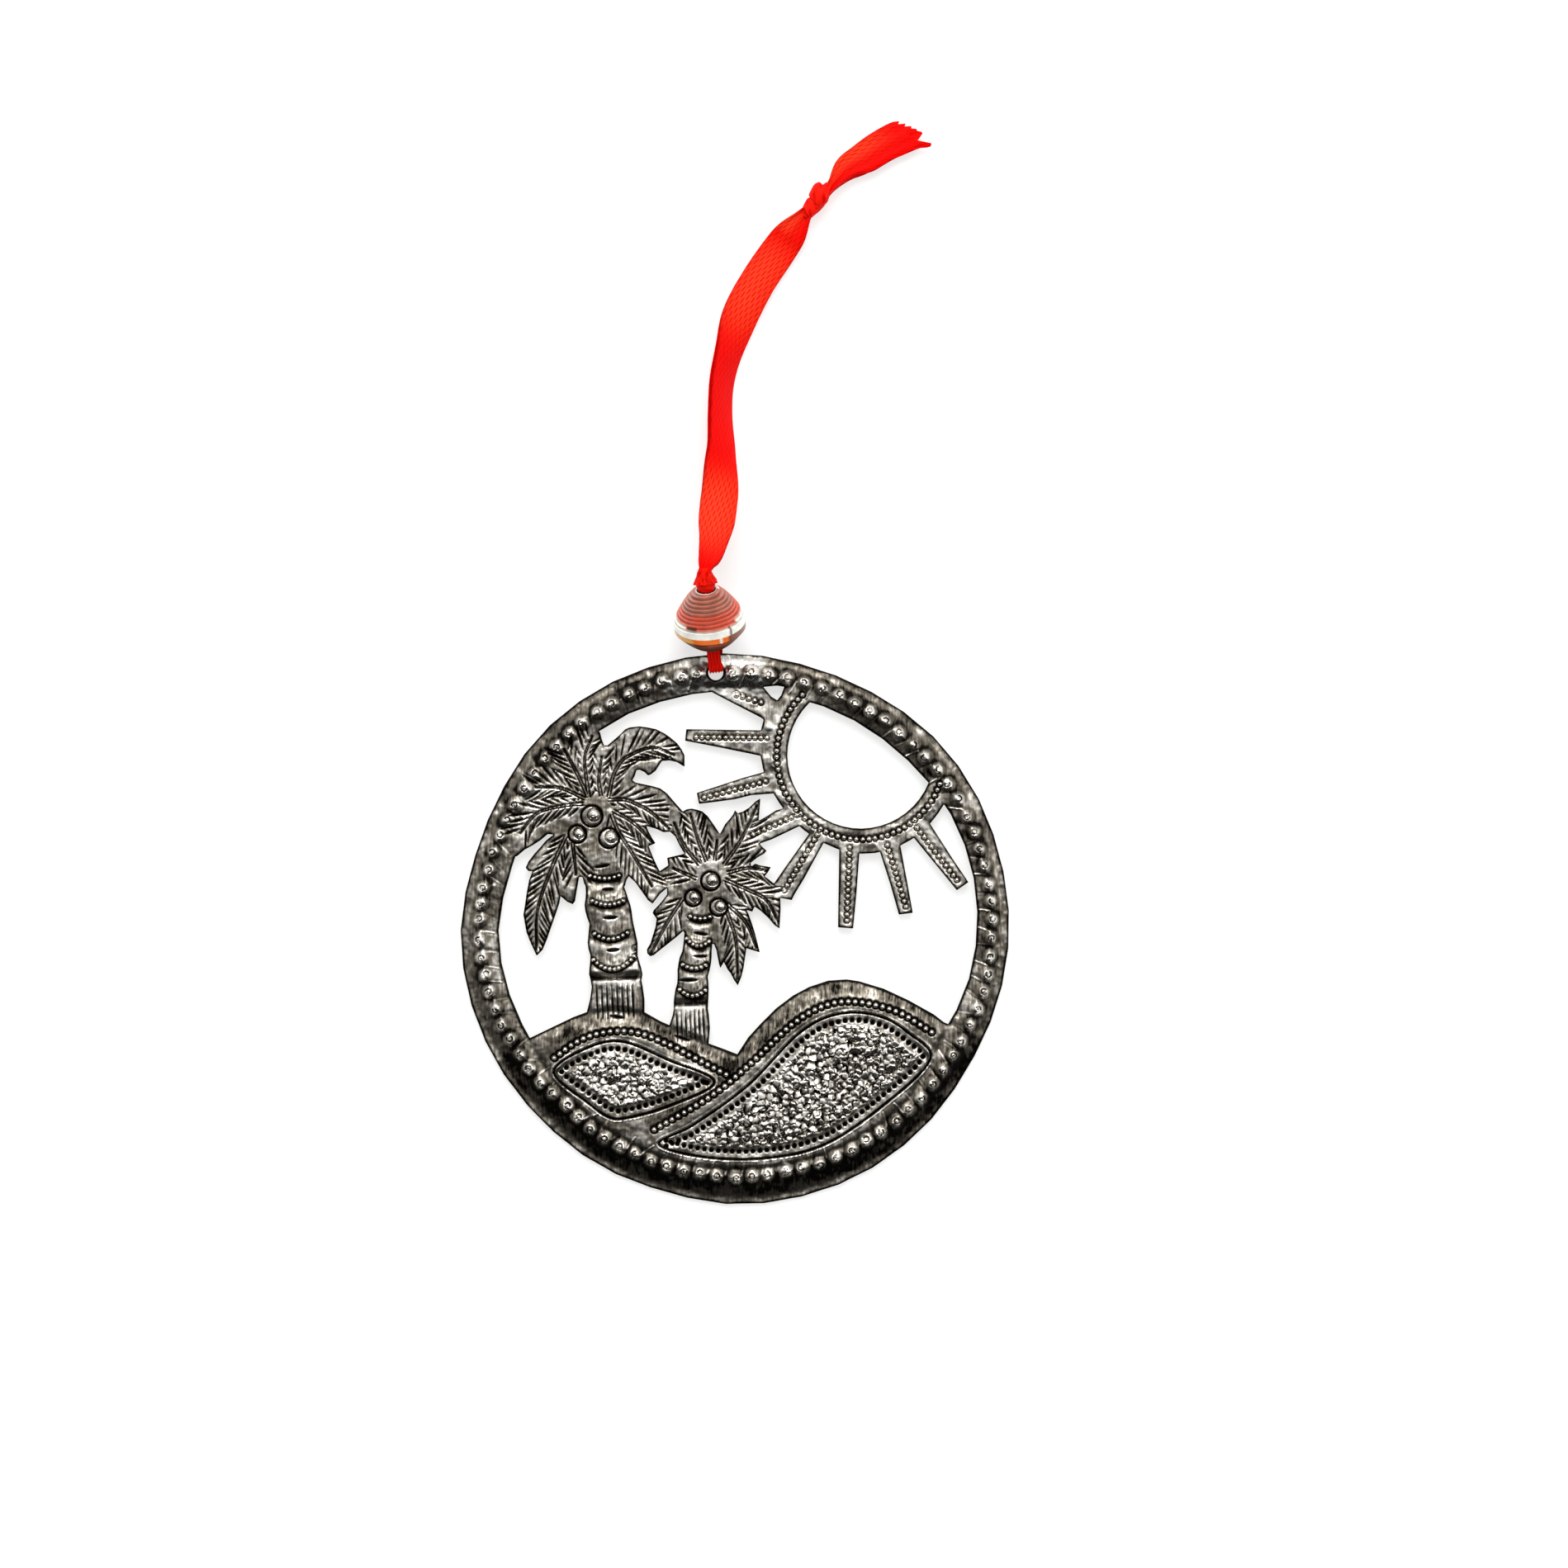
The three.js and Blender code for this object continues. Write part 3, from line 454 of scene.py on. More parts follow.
def rub_or_paint_shade(points, width, amount):
    """Brightening or darkening along a line: rubbing and soot in some places, painted shade in others."""
    area = window(points, 1.6 * width)
    polish_and_shade[area] += amount * bell(line_distance(points, area), width, 4)


def spot(place, length=0.01):
    """A line short enough to stand for a place."""
    return [place, place + length]


def spaced(points, spacing):
    """Places at about a spacing along a line."""
    length = curve_length(np.asarray(points, dtype=float))
    return along_curve(points, max(2, round(length / spacing) + 1))


def dot_row(points, spacing, radius, height):
    """A row of dots, each in a faint ring of its own."""
    places = spaced(points, spacing)
    for place in places:
        dot(place, radius, height * rng.uniform(0.85, 1.15))
        ring_mark(place, 1.15 * radius, 0.3 * radius, 0.5 * abs(height))
    return len(places)


print("tools ready")

# %% [markdown]
# ## The rim's bosses
#
# Ninety bosses stand on the rim's crest, all but the one where the hanging hole is. Each was
# driven up from the back, then tapped from the front with a ring punch. By hand no two are
# quite alike, so place, size and depth waver a little. Between them the chisel left flutes.

# %% Bosses
BOSS_COUNT = 90
BOSS_SPACING = 2 * math.pi / BOSS_COUNT
HOLE_ANGLE = math.atan2(44.3, -3.2)
HOLE_RADIUS = 1.4
CREST_RADII = [
    44.4, 44.6, 44.7, 44.5, 44.3, 44.4, 44.4, 44.6, 44.5, 44.0, 43.6, 43.6,
    44.0, 43.6, 42.7, 42.0, 42.1, 42.4, 42.5, 42.7, 43.0, 43.3, 43.5, 44.0,
]
# Parts of the rim's outer slope painted darker, the first as painted shade on the bottom slope,
# which faces away from the light: degrees from and to, in how many steps, distance outside
# the crest, and how much darker
DARK_SLOPES = [(-150, -25, 30, 2.2, -0.33), (102, 150, 20, 2.0, -0.13), (45, 80, 20, 2.0, -0.1)]


def crest_radius(angle):
    """The crest's radius at an angle, from radii read at even steps round the rim."""
    values = np.array([*CREST_RADII, CREST_RADII[0]])
    return np.interp(np.mod(angle, 2 * math.pi), np.linspace(0, 2 * math.pi, len(values)), values)


def polar(radius, angle, centre=(0, 0)):
    return np.array([centre[0] + radius * math.cos(angle), centre[1] + radius * math.sin(angle)])


def boss(angle):
    """A broad dome, a small steep one on it, and the ragged ring of the last tap."""
    place = polar(crest_radius(angle) + rng.normal(0, 0.12), angle + rng.normal(0, 0.003))
    dot(place, rng.normal(1.45, 0.06), rng.normal(0.5, 0.05))
    dot(place, 0.85, rng.normal(0.17, 0.04))
    tap = place + rng.normal(0, 0.12, 2)
    first = rng.uniform(0, 2 * math.pi)
    sweep = np.linspace(first, first + rng.uniform(2.5, 6), 12)
    groove([polar(rng.uniform(0.42, 0.48), a, tap) for a in sweep], 0.11, rng.uniform(0.3, 0.5))
    stroke(tap - 0.2, tap + rng.uniform(0, 0.25, 2), 0.1, rng.uniform(0.1, 0.3))
    rub_or_paint_shade(spot(place), 1.55, -0.24)
    rub_or_paint_shade(spot(tap), 0.72, 0.26)


def fold(angle):
    """A valley between two bosses, with a thin crease along it on the inner slope."""
    r = crest_radius(angle)
    lean = rng.normal(0.014, 0.01)
    inner = polar(r - 2.6, angle + lean)
    valley([inner, polar(r + 1.2, angle - 0.5 * lean)], 0.4, 0.09)
    ridge = [inner, polar(r - 0.3, angle + rng.normal(0, 0.006))]
    valley(ridge, 0.13, -rng.uniform(0.02, 0.2))
    rub_or_paint_shade(ridge, 0.2, rng.uniform(0, 0.3))


def rim_painted_tones():
    """Painted shade round the hole's edge, a patch painted brighter about it, and parts of
    the rim's outer slope painted darker.
    """
    hole = polar(44.41, HOLE_ANGLE)
    rub_or_paint_shade([polar(HOLE_RADIUS, a, hole) for a in np.linspace(0, 2 * math.pi, 24)], 0.3, -0.7)
    rub_or_paint_shade([polar(44.4, HOLE_ANGLE - 0.1), polar(43.6, HOLE_ANGLE + 0.1)], 4.6, 0.34)
    for low, high, steps, out, amount in DARK_SLOPES:
        angles = np.radians(np.linspace(low, high, steps))
        rub_or_paint_shade([polar(crest_radius(a) + out, a) for a in angles], 1.5, amount)


for k in range(1, BOSS_COUNT):
    boss(HOLE_ANGLE + BOSS_SPACING * k)
    fold(HOLE_ANGLE + BOSS_SPACING * (k + 0.5))
rim_painted_tones()
print("bosses:", BOSS_COUNT - 1)

# %% [markdown]
# ## Sun and rays
#
# Rows of small raised dots run round the sun's band and down the middle of each ray.

# %% Sun and rays
SUN_CENTRE = (21.8, 30.1)
SUN_DOT_RADIUS = 14.5
RAYS = [
    [(0.4, 40.5), (4.6, 39.2)], [(-6.6, 33.2), (5.6, 33.1)], [(-5.2, 22.8), (5.4, 25.6)],
    [(3.2, 16.5), (10.8, 19.8)], [(8.6, 6.8), (14.3, 16.4)], [(19.4, 1.6), (19.9, 14.2)],
    [(29.6, 4.0), (26.4, 14.6)], [(38.4, 8.6), (31.5, 17.6)],
]


def sun_dots():
    angles = np.radians(np.linspace(134, 340, 47))
    arc = [polar(SUN_DOT_RADIUS, a, SUN_CENTRE) for a in angles]
    total = dot_row(arc, 1.08, 0.46, 0.5)
    rub_or_paint_shade(arc, 2.2, 0.12)
    for ray in RAYS:
        total += dot_row(ray, 1.05, 0.42, 0.48)
        rub_or_paint_shade(ray, 1.8, 0.23)
    return total


print("sun dots:", sun_dots())

# %% [markdown]
# ## Palms
#
# A frond has a double chisel line down its rib and slanting strokes from the rib to its edge.
# Each rib is drawn from the crown outward. Fronds lie side by side in one sheet, so each grid
# place belongs to its nearest rib, and a frond's strokes stop where its neighbour's begin.

# %% Fronds
LEFT_RIBS = [
    [(-21.7, 22.9), (-20.9, 26.5), (-19.8, 28.6), (-18.3, 29.9), (-14.2, 31.4), (-10.4, 30.1)],
    [(-21.7, 22.4), (-18.9, 22.4), (-16.4, 21.4), (-14.2, 20.1), (-11.2, 17.3)],
    [(-20.9, 20.5), (-17.4, 18.4), (-14.0, 14.9)],
    [(-21.2, 19.8), (-20.0, 16.9), (-17.9, 13.6), (-14.2, 7.4)],
    [(-26.0, 21.7), (-29.2, 21.4), (-33.9, 20.1), (-37.0, 16.6)],
    [(-25.8, 22.6), (-30.0, 24.4), (-34.4, 24.6)],
    [(-25.4, 23.1), (-26.4, 25.4), (-27.7, 28.0), (-29.4, 31.2)],
    [(-25.1, 22.9), (-25.6, 26.5), (-25.8, 29.9), (-24.5, 33.4)],
    [(-23.0, 23.1), (-23.4, 25.9), (-22.9, 29.8)],
    [(-29.0, 16.2), (-31.4, 10.9), (-33.9, 3.6), (-34.2, -3.5)],
    [(-27.9, 15.1), (-27.3, 9.4)],
]
RIGHT_RIBS = [
    [(-4.8, 11.8), (-6.4, 15.8), (-7.6, 20.0)],
    [(-6.0, 11.2), (-8.6, 14.4), (-10.4, 18.4)],
    [(-3.4, 11.9), (-3.0, 15.4)],
    [(-1.8, 11.2), (1.2, 15.6), (3.9, 21.4)],
    [(-1.2, 9.8), (2.4, 10.6), (5.8, 10.1)],
    [(-1.6, 8.6), (2.2, 6.9), (5.6, 5.0), (7.7, 1.0)],
    [(-1.4, 3.4), (0.2, -1.6), (0.6, -8.6)],
    [(-1.2, 4.4), (2.0, 1.2), (3.8, -3.2)],
    [(-9.0, 5.2), (-11.8, 0.8), (-14.4, -4.2)],
    [(-6.6, 8.8), (-10.6, 10.6)],
]
STROKE_SPACING = 1.22
STROKE_LEAN = math.radians(35)
FROND_REACH = 5.0


def rib_owners(ribs):
    """For each grid place, the number of the nearest rib, or -1 beyond reach of all."""
    nearest = np.full((size, size), FROND_REACH)
    owner = np.full((size, size), -1)
    for i, rib in enumerate(ribs):
        area = window(rib, FROND_REACH)
        d = line_distance(rib, area)
        owner[area] = np.where(d < nearest[area], i, owner[area])
        nearest[area] = np.minimum(nearest[area], d)
    return owner


def frond(rib, mine):
    """Twin grooves along the rib and leaning strokes on both sides, cut to its own ground."""
    marks = np.zeros((size, size))
    line = spaced(rib, STROKE_SPACING / 2)
    ways = unit(np.gradient(line, axis=0))
    squares = np.stack([-ways[:, 1], ways[:, 0]], axis=1)
    taper = np.linspace(1, 0.35, len(line))[:, None]
    for side in (-1, 1):
        groove(line + 0.25 * side * taper * squares, 0.11, 0.3, marks)
        for i in range(side > 0, len(line) - 1, 2):
            lean = side * (STROKE_LEAN + rng.normal(0, 0.05))
            way = math.cos(lean) * ways[i] + math.sin(lean) * squares[i]
            start = line[i] + 0.4 * side * squares[i]
            length = rng.uniform(4.2, 5.4) * (0.55 + 0.45 * math.sin(math.pi * i / len(line)))
            stroke(start, start + way * length, 0.17, rng.uniform(0.24, 0.42), marks)
    deepen(cuts, mine, marks[mine])


ribs = [*LEFT_RIBS, *RIGHT_RIBS]
owners = rib_owners(ribs)
for i, rib in enumerate(ribs):
    frond(rib, owners == i)
print("fronds:", len(LEFT_RIBS), "and", len(RIGHT_RIBS))

# %% [markdown]
# Coconuts are struck with a large hollow punch: a low dome in a ring groove, with a small
# steep boss near its top. They are laid over the strokes, so their ground is cleared first.

# %% Coconuts
COCONUTS = [
    (-24.6, 19.6, 1.8), (-21.6, 15.8, 1.7), (-27.1, 16.5, 1.5),
    (-4.1, 8.4, 1.6), (-7.1, 5.5, 1.4), (-2.7, 3.9, 1.5),
]
COCONUT_DOME = 0.45


def coconut(x, y, radius):
    area = window((x, y), radius + 0.5)
    d = spot_distance((x, y), area)
    dome = COCONUT_DOME * np.sqrt(np.clip(1 - (d / radius) ** 2, 0, 1))
    relief[area] = np.where(d < radius, dome, relief[area])
    cuts[area] = np.where(d < radius, 0.12, cuts[area])
    ring_mark((x, y), radius, 0.16, 0.5)
    top = np.array([x, y]) + radius * np.array([0.22, 0.12])
    area = window(top, 0.6 * radius)
    cuts[area] = np.where(spot_distance(top, area) < 0.55 * radius, 0, cuts[area])
    dot(top, 0.58 * radius, 0.6)
    rub_or_paint_shade(spot(top), 0.8 * radius, 0.14)
    ring_mark(top, 0.62 * radius, 0.14, 0.3)
    ring_mark(top + rng.normal(0, 0.08, 2), 0.26, 0.09, 0.16)


for nut in COCONUTS:
    coconut(*nut)
print("coconuts:", len(COCONUTS))

# %% [markdown]
# Each trunk is a stack of cups. A cup's lower lip is a hanging arc of dots over a deep groove,
# with a short chisel mark above it. The trunk's foot is fluted.

# %% Trunks
# Each lip: its left and right end, and how far it sags between them
LEFT_LIPS = [
    ((-24.9, 9.3), (-19.9, 9.3), 0.5), ((-24.5, 5.0), (-19.1, 5.0), 0.7),
    ((-24.1, -0.7), (-18.4, -0.5), 1.0), ((-24.3, -5.2), (-17.2, -4.6), 1.9),
]
LEFT_CHISELS = [
    [(-24.3, 10.7), (-21.4, 11.2)], [(-22.9, 6.9), (-20.7, 7.0)],
    [(-22.7, 2.0), (-20.0, 2.2)], [(-22.0, -3.6), (-19.7, -3.4)], [(-21.6, -14.8), (-18.9, -15.2)],
]
RIGHT_LIPS = [
    ((-7.6, 2.3), (-4.2, 2.2), 0.4), ((-8.3, -1.5), (-4.3, -2.0), 1.0),
    ((-8.9, -6.0), (-4.9, -6.1), 0.6), ((-9.4, -10.3), (-5.0, -10.4), 1.0),
]
RIGHT_CHISELS = [
    [(-7.1, -0.5), (-4.5, -0.9)], [(-7.1, -4.5), (-4.6, -4.6)],
    [(-9.6, -8.7), (-6.1, -8.6)], [(-10.5, -18.2), (-7.4, -19.2)],
]
# Each foot: left and right side, top and bottom, and its number of flutes
LEFT_FOOT = (-24.4, -17.0, -9.2, -15.2, 8)
RIGHT_FOOT = (-10.6, -4.8, -13.6, -19.2, 7)


def hanging(left, right, sag):
    """An arc that hangs from two points: a parabola, sag * (1 - u^2) below their line."""
    u = np.linspace(-1, 1, 15)[:, None]
    middle, half = (np.add(left, right)) / 2, np.subtract(right, left) / 2
    return middle + u * half - np.array([0, sag]) * (1 - u**2)


def lip_marks(lip):
    """A hollow and a groove below the lip, brushed strokes above it, and its dots."""
    arc = hanging(*lip)
    valley(arc - np.array([0, 0.85]), 0.5, 0.3)
    groove(arc - np.array([0, 0.55]), 0.2, 0.3)
    for place in spaced(arc, 0.55):
        up = np.array([rng.normal(0, 0.08), rng.uniform(1.2, 2.6)])
        stroke(place + 0.4 * up, place + up, 0.12, rng.uniform(0.04, 0.14))
    dot_row(arc, 0.82, 0.4, 0.42)


def trunk_marks(lips, chisels, foot):
    for lip in lips:
        lip_marks(lip)
    for start, end in chisels:
        stroke(start, end, 0.22, 0.5)
    left, right, top, bottom, flutes = foot
    for x in np.linspace(left + 0.6, right - 0.6, flutes):
        stroke((x, top + 0.2), (x + 0.3, bottom - 0.5), 0.17, 0.34)
    middle = (left + right) / 2
    rub_or_paint_shade([(middle, top - 1.5), (middle + 0.3, bottom + 1.5)], 3.2, 0.2)
    rub_or_paint_shade([(middle, top + 3), np.mean(lips[0][:2], axis=0)], 3.2, -0.02)
    valley([(left, top + 1.1), (right, top + 1.3)], 0.7, 0.4)
    groove([(left, top + 0.7), (right, top + 0.9)], 0.3, 0.25)


trunk_marks(LEFT_LIPS, LEFT_CHISELS, LEFT_FOOT)
trunk_marks(RIGHT_LIPS, RIGHT_CHISELS, RIGHT_FOOT)
print("cups:", len(LEFT_LIPS) + len(RIGHT_LIPS))

# %% [markdown]
# ## Hills
#
# A row of dots follows each skyline. Below it a panel is edged by a raised line and a cut and
# lined with sunk dots. Its middle is beaten all over: each blow leaves a small facet that leans
# its own way, with a crease where two facets meet and the curved nick of the tool's edge.

# %% Hills
LEFT_ROW = [(-31.0, -22.0), (-27.0, -19.2), (-22.6, -17.7), (-17.2, -17.6), (-11.6, -19.6), (-1.4, -24.9)]
RIGHT_ROW = [
    (34.0, -17.6), (27.8, -14.0), (20.8, -12.4), (15.4, -13.1), (9.8, -16.4), (3.0, -22.8),
    (-3.9, -28.5), (-13.8, -34.4),
]
LEFT_PANEL = [
    (-31.1, -24.6), (-26.0, -20.6), (-19.5, -19.2), (-11.4, -22.4), (-3.4, -26.2), (-11.4, -30.4),
    (-18.5, -32.4), (-21.6, -32.3), (-25.2, -29.8),
]
RIGHT_PANEL = [
    (33.8, -22.2), (30.1, -17.8), (25.1, -14.9), (18.4, -14.4), (11.4, -17.6), (2.2, -26.9),
    (-7.1, -33.6), (-13.0, -36.9), (-4.9, -39.2), (6.0, -39.3), (16.0, -36.8), (26.5, -29.6),
]
LINING_DEPTH = 1.35
HAMMER_SPACING = 1.1
HAMMER_REACH = 2.0


def skyline_row(points):
    """A row of dots, with fine brushed scratches on the sheet above it, which is painted darker."""
    rub_or_paint_shade(np.asarray(points) + np.array([0, 2.4]), 1.9, -0.17)
    for place in spaced(points, 0.3):
        start = place + np.array([rng.normal(0, 0.3), rng.uniform(0.7, 1.4)])
        end = start + np.array([rng.normal(0.3, 0.25), rng.uniform(1.2, 2.8)])
        stroke(start, end, 0.09, rng.uniform(0.02, 0.12))
    return dot_row(points, 1.2, 0.52, 0.55)


def closed(outline):
    return np.vstack([outline, outline[:1]])


def depth_inside(outline, area):
    """Distance from each grid place to an outline, positive inside it."""
    ring = closed(outline)
    x, y = grid_x[area], grid_y[area]
    crossings = np.zeros(x.shape, dtype=int)
    for (ax, ay), (bx, by) in zip(ring[:-1], ring[1:]):
        spans = (ay > y) != (by > y)
        slope = (bx - ax) / (by - ay) if by != ay else 0
        crossings += spans & (x < ax + (y - ay) * slope)
    return line_distance(ring, area) * np.where(crossings % 2 == 1, 1, -1)


def shifted_in(outline, amount):
    """An outline moved inward, each point square to its neighbours."""
    way = unit(np.roll(outline, -1, 0) - np.roll(outline, 1, 0))
    normal = np.stack([way[:, 1], -way[:, 0]], axis=1)
    x, y = outline.T
    area = np.sum(x * np.roll(y, -1) - y * np.roll(x, -1))
    return outline - amount * normal * np.sign(area)


def hammered(low, high):
    """Facets round jittered places, each with a lean and a bulge of its own, and the creases
    and nicks. A crease is a bell over the difference of the two nearest distances."""
    first, second = np.full((2, size, size), 3.0)
    facets, nicks = np.zeros((2, size, size))
    xs, ys = (np.arange(low[k], high[k], HAMMER_SPACING) for k in (0, 1))
    corners = [(x, y) for y in ys for x in xs]
    for corner in corners:
        place = np.array(corner) + rng.uniform(-0.5, 0.5, 2) * HAMMER_SPACING
        area = window(place, HAMMER_REACH)
        x, y = offsets(place, area)
        d = np.hypot(x, y)
        closer = d < first[area]
        second[area] = np.where(closer, first[area], np.minimum(second[area], d))
        first[area] = np.minimum(first[area], d)
        lean = rng.normal(0, 0.25, 2)
        facet = lean[0] * x + lean[1] * y + 0.12 * (1 - d**2)
        facets[area] = np.where(closer, facet, facets[area])
        start = rng.uniform(0, 2 * math.pi)
        sweep = np.linspace(start, start + rng.uniform(2, 3.6), 8)
        arc = [polar(rng.uniform(0.5, 0.56), a, place) for a in sweep]
        groove(arc, 0.1, rng.uniform(0.1, 0.4), nicks)
    return facets, np.maximum(nicks, 0.1 * bell(second - first, 0.15)), len(corners)


def panel(points, shine):
    """A beaten panel: raised edge, cut, sunk dots, and facets rubbed bright by `shine`."""
    outline = closed_curve(points)
    area = window(outline, 2.0)
    depth = depth_inside(outline, area)
    relief[area] += 0.16 * bell(depth + 0.32, 0.2)
    groove(closed(outline), 0.16, 0.5)
    places = spaced(closed(shifted_in(outline, LINING_DEPTH)), 1.2)
    for place in places:
        dot(place, 0.46, -0.3)
        groove(spot(place, 0.05), 0.3, 0.5)
    facets, creases, count = hammered(outline.min(0), outline.max(0))
    share = np.clip((depth - LINING_DEPTH - 0.75) / 0.4, 0, 1)
    relief[area] += share * (facets[area] + 0.1)
    polish_and_shade[area] += shine * share
    deepen(cuts, area, share * creases[area])
    return len(places), count


print("row dots:", skyline_row(LEFT_ROW), skyline_row(RIGHT_ROW))
print("panels' dots and hammer marks:", panel(LEFT_PANEL, 0.24), panel(RIGHT_PANEL, 0.12))

# %% [markdown]
# ## From heights to a closed sheet
#
# The face is one quad per grid cell. Where the outline crosses a cell, the crossing is found
# by halving the way between a ray that meets steel and one that doesn't. The back is the same
# grid in larger blocks wherever no edge is near, since a hammered back is smoother. The disc is
# built in three bands that meet face to face, so that none grows too heavy to handle.

# %% Heights of face and back
def dents(width, depth):
    """Random dents of about a width, with a mean height of nothing."""
    field = blur(rng.normal(0, 1, (size, size)), width)
    return depth * field / field.std()


form = relief + dents(0.22, 0.02) + dents(0.5, 0.035) + dents(1.5, 0.07)
struck = form - cuts
steel_share = inside.astype(float)
cover = np.clip(blur(steel_share, 0.16), 0, 1)
face = back_form + SHEET + struck - 0.25 * (1 - cover)
under = np.clip(back_form + 0.7 * blur_on_steel(np.clip(relief, -0.2, 2), 0.3), 0, face - 0.35)
near_form = struck - blur_on_steel(struck, 0.5)
wide_form = form - blur_on_steel(form, 1.6)
# Near the cut edges: painted shade, where the sheet's edge is seen in shadow, and patina
edge_patina_and_shade = 1 - blur(steel_share, 0.24)
# High spots rubbed bright, patina in the cuts, and painted shade in broad hollows from wide_form and along
# the cut edges
wear_and_shade = 0.55 + polish_and_shade + 1.25 * near_form + 0.4 * wide_form - 1.0 * cuts - 2.6 * edge_patina_and_shade
wear_and_shade = np.clip(wear_and_shade, 0, 1)
print("face up to", round(float(face[inside].max()), 2), "mm")

# %% Marching round the outline
BLOCK = 4
BAND_NAMES = ["steel_hills", "steel_palms", "steel_sun"]
SEAMS_Y = [-17.5, 12.5]
BACK_WEAR = 0.3
reached = {}


def between(a, b, t):
    """x and y at a share t of the way from one grid place to another."""
    (ra, ca), (rb, cb) = a, b
    return axis_mm[ca] + t * (axis_mm[cb] - axis_mm[ca]), axis_mm[ra] + t * (axis_mm[rb] - axis_mm[ra])


def crossing(a, b):
    """Of two neighbouring grid places, the one on steel, the other one, and how far from one
    to the other the steel reaches."""
    inner, outer = (a, b) if inside[a] else (b, a)
    if (inner, outer) not in reached:
        low, high = 0.0, 1.0
        for _ in range(7):
            t = (low + high) / 2
            low, high = (low, t) if math.isnan(underside(*between(inner, outer, t))) else (t, high)
        reached[inner, outer] = min(max(low, 0.02), 0.98)
    return inner, outer, reached[inner, outer]


class Band:
    """One closed piece of the disc: grid cells of some rows, faced, backed and walled. A
    corner of a cell is (a, b, t): at a grid place (a = b), or a share t of the way to b."""

    def __init__(self, first_row, last_row):
        self.rows = (first_row, last_row)
        self.points, self.marks, self.faces = [], [], []
        self.index = {}

    def vertex(self, side, a, b, t):
        """The vertex at a corner, on the back (side 0) or the face (side 1)."""
        key = (side, a, b, t)
        if key not in self.index:
            field = face if side else under
            self.index[key] = len(self.points)
            self.points.append((*between(a, b, t), field[a] + t * (field[b] - field[a])))
            # A face point on the outline gets 0, painted shade along the cut edge; a back point gets
            # BACK_WEAR
            self.marks.append(wear_and_shade[a] if side and t == 0 else BACK_WEAR * (1 - side))
        return self.index[key]

    def cell(self, row, column, side):
        """A cell's polygon, and the walls that it needs."""
        corners = [(row, column), (row, column + 1), (row + 1, column + 1), (row + 1, column)]
        loop = []
        for here, there in zip(corners, corners[1:] + corners[:1]):
            if inside[here]:
                loop.append((here, here, 0.0))
            if inside[here] != inside[there]:
                loop.append(crossing(here, there))
        if len(loop) < 3:
            return
        polygon = [self.vertex(side, *p) for p in loop]
        self.faces.append(tuple(polygon if side else reversed(polygon)))
        for p, q in zip(loop, loop[1:] + loop[:1]):
            if side and (p[2] > 0 and q[2] > 0 or self.on_seam(p, q)):
                a, b = self.vertex(1, *p), self.vertex(1, *q)
                c, d = self.vertex(0, *q), self.vertex(0, *p)
                self.faces.append((b, a, d, c))

    def on_seam(self, p, q):
        """Whether a cell's side lies where two bands of the disc meet."""
        rows = {p[0][0], p[1][0], q[0][0], q[1][0]}
        return len(rows) == 1 and rows.pop() in self.rows and p != q

    def is_whole(self, row, column):
        in_rows = self.rows[0] <= row and row + BLOCK <= self.rows[1]
        in_columns = 0 <= column and column + BLOCK < size
        ground = inside[row : row + BLOCK + 1, column : column + BLOCK + 1]
        return in_rows and in_columns and bool(ground.all())

    def whole_block(self, row, column):
        """A block as a single face, which keeps the small steps of an unmerged neighbour."""
        n = BLOCK
        loop = []
        for r, c, dr, dc, near in [
            (row, column, 0, 1, (row - n, column)),
            (row, column + n, 1, 0, (row, column + n)),
            (row + n, column + n, 0, -1, (row + n, column)),
            (row + n, column, -1, 0, (row, column - n)),
        ]:
            for k in range(1 if self.is_whole(*near) else n):
                place = (r + dr * k, c + dc * k)
                loop.append(self.vertex(0, place, place, 0.0))
        self.faces.append(tuple(reversed(loop)))

    def build(self):
        for row in range(*self.rows):
            touched = inside[row] | inside[row + 1]
            for column in np.nonzero(touched[:-1] | touched[1:])[0]:
                self.cell(row, int(column), 1)
        for row in range(*self.rows, BLOCK):
            for column in range(0, size - BLOCK, BLOCK):
                if self.is_whole(row, column):
                    self.whole_block(row, column)
                    continue
                for i in range(row, min(row + BLOCK, self.rows[1])):
                    for j in range(column, column + BLOCK):
                        if inside[i : i + 2, j : j + 2].any():
                            self.cell(i, j, 0)


limits = [0, *(BLOCK * round((y + HALF) / STEP / BLOCK) for y in SEAMS_Y), size - 1]
bands = {name: Band(low, high) for name, low, high in zip(BAND_NAMES, limits, limits[1:])}
for name, band in bands.items():
    band.build()
    print(name, "triangles:", sum(len(f) - 2 for f in band.faces))

# %% [markdown]
# ## The steel's finish
#
# Drum steel is blackened, then rubbed back, so hollows stay near black and high spots shine.
# One attribute holds how high each place stands above its surroundings, with the tone marks and
# painted shade in broad hollows and along the cut edges; it drives both colour and gloss.
# Brushing leaves fine streaks, and old patina lies in soft brown patches.

# %% Steel material
STEEL_COLOURS = [(0.17, (0.006, 0.005, 0.004)), (0.48, (0.19, 0.168, 0.135)), (0.86, (0.86, 0.83, 0.77))]
STREAK_SCALE = (2600, 420, 600)
STREAK_TURN = (0, 0, 0.25)


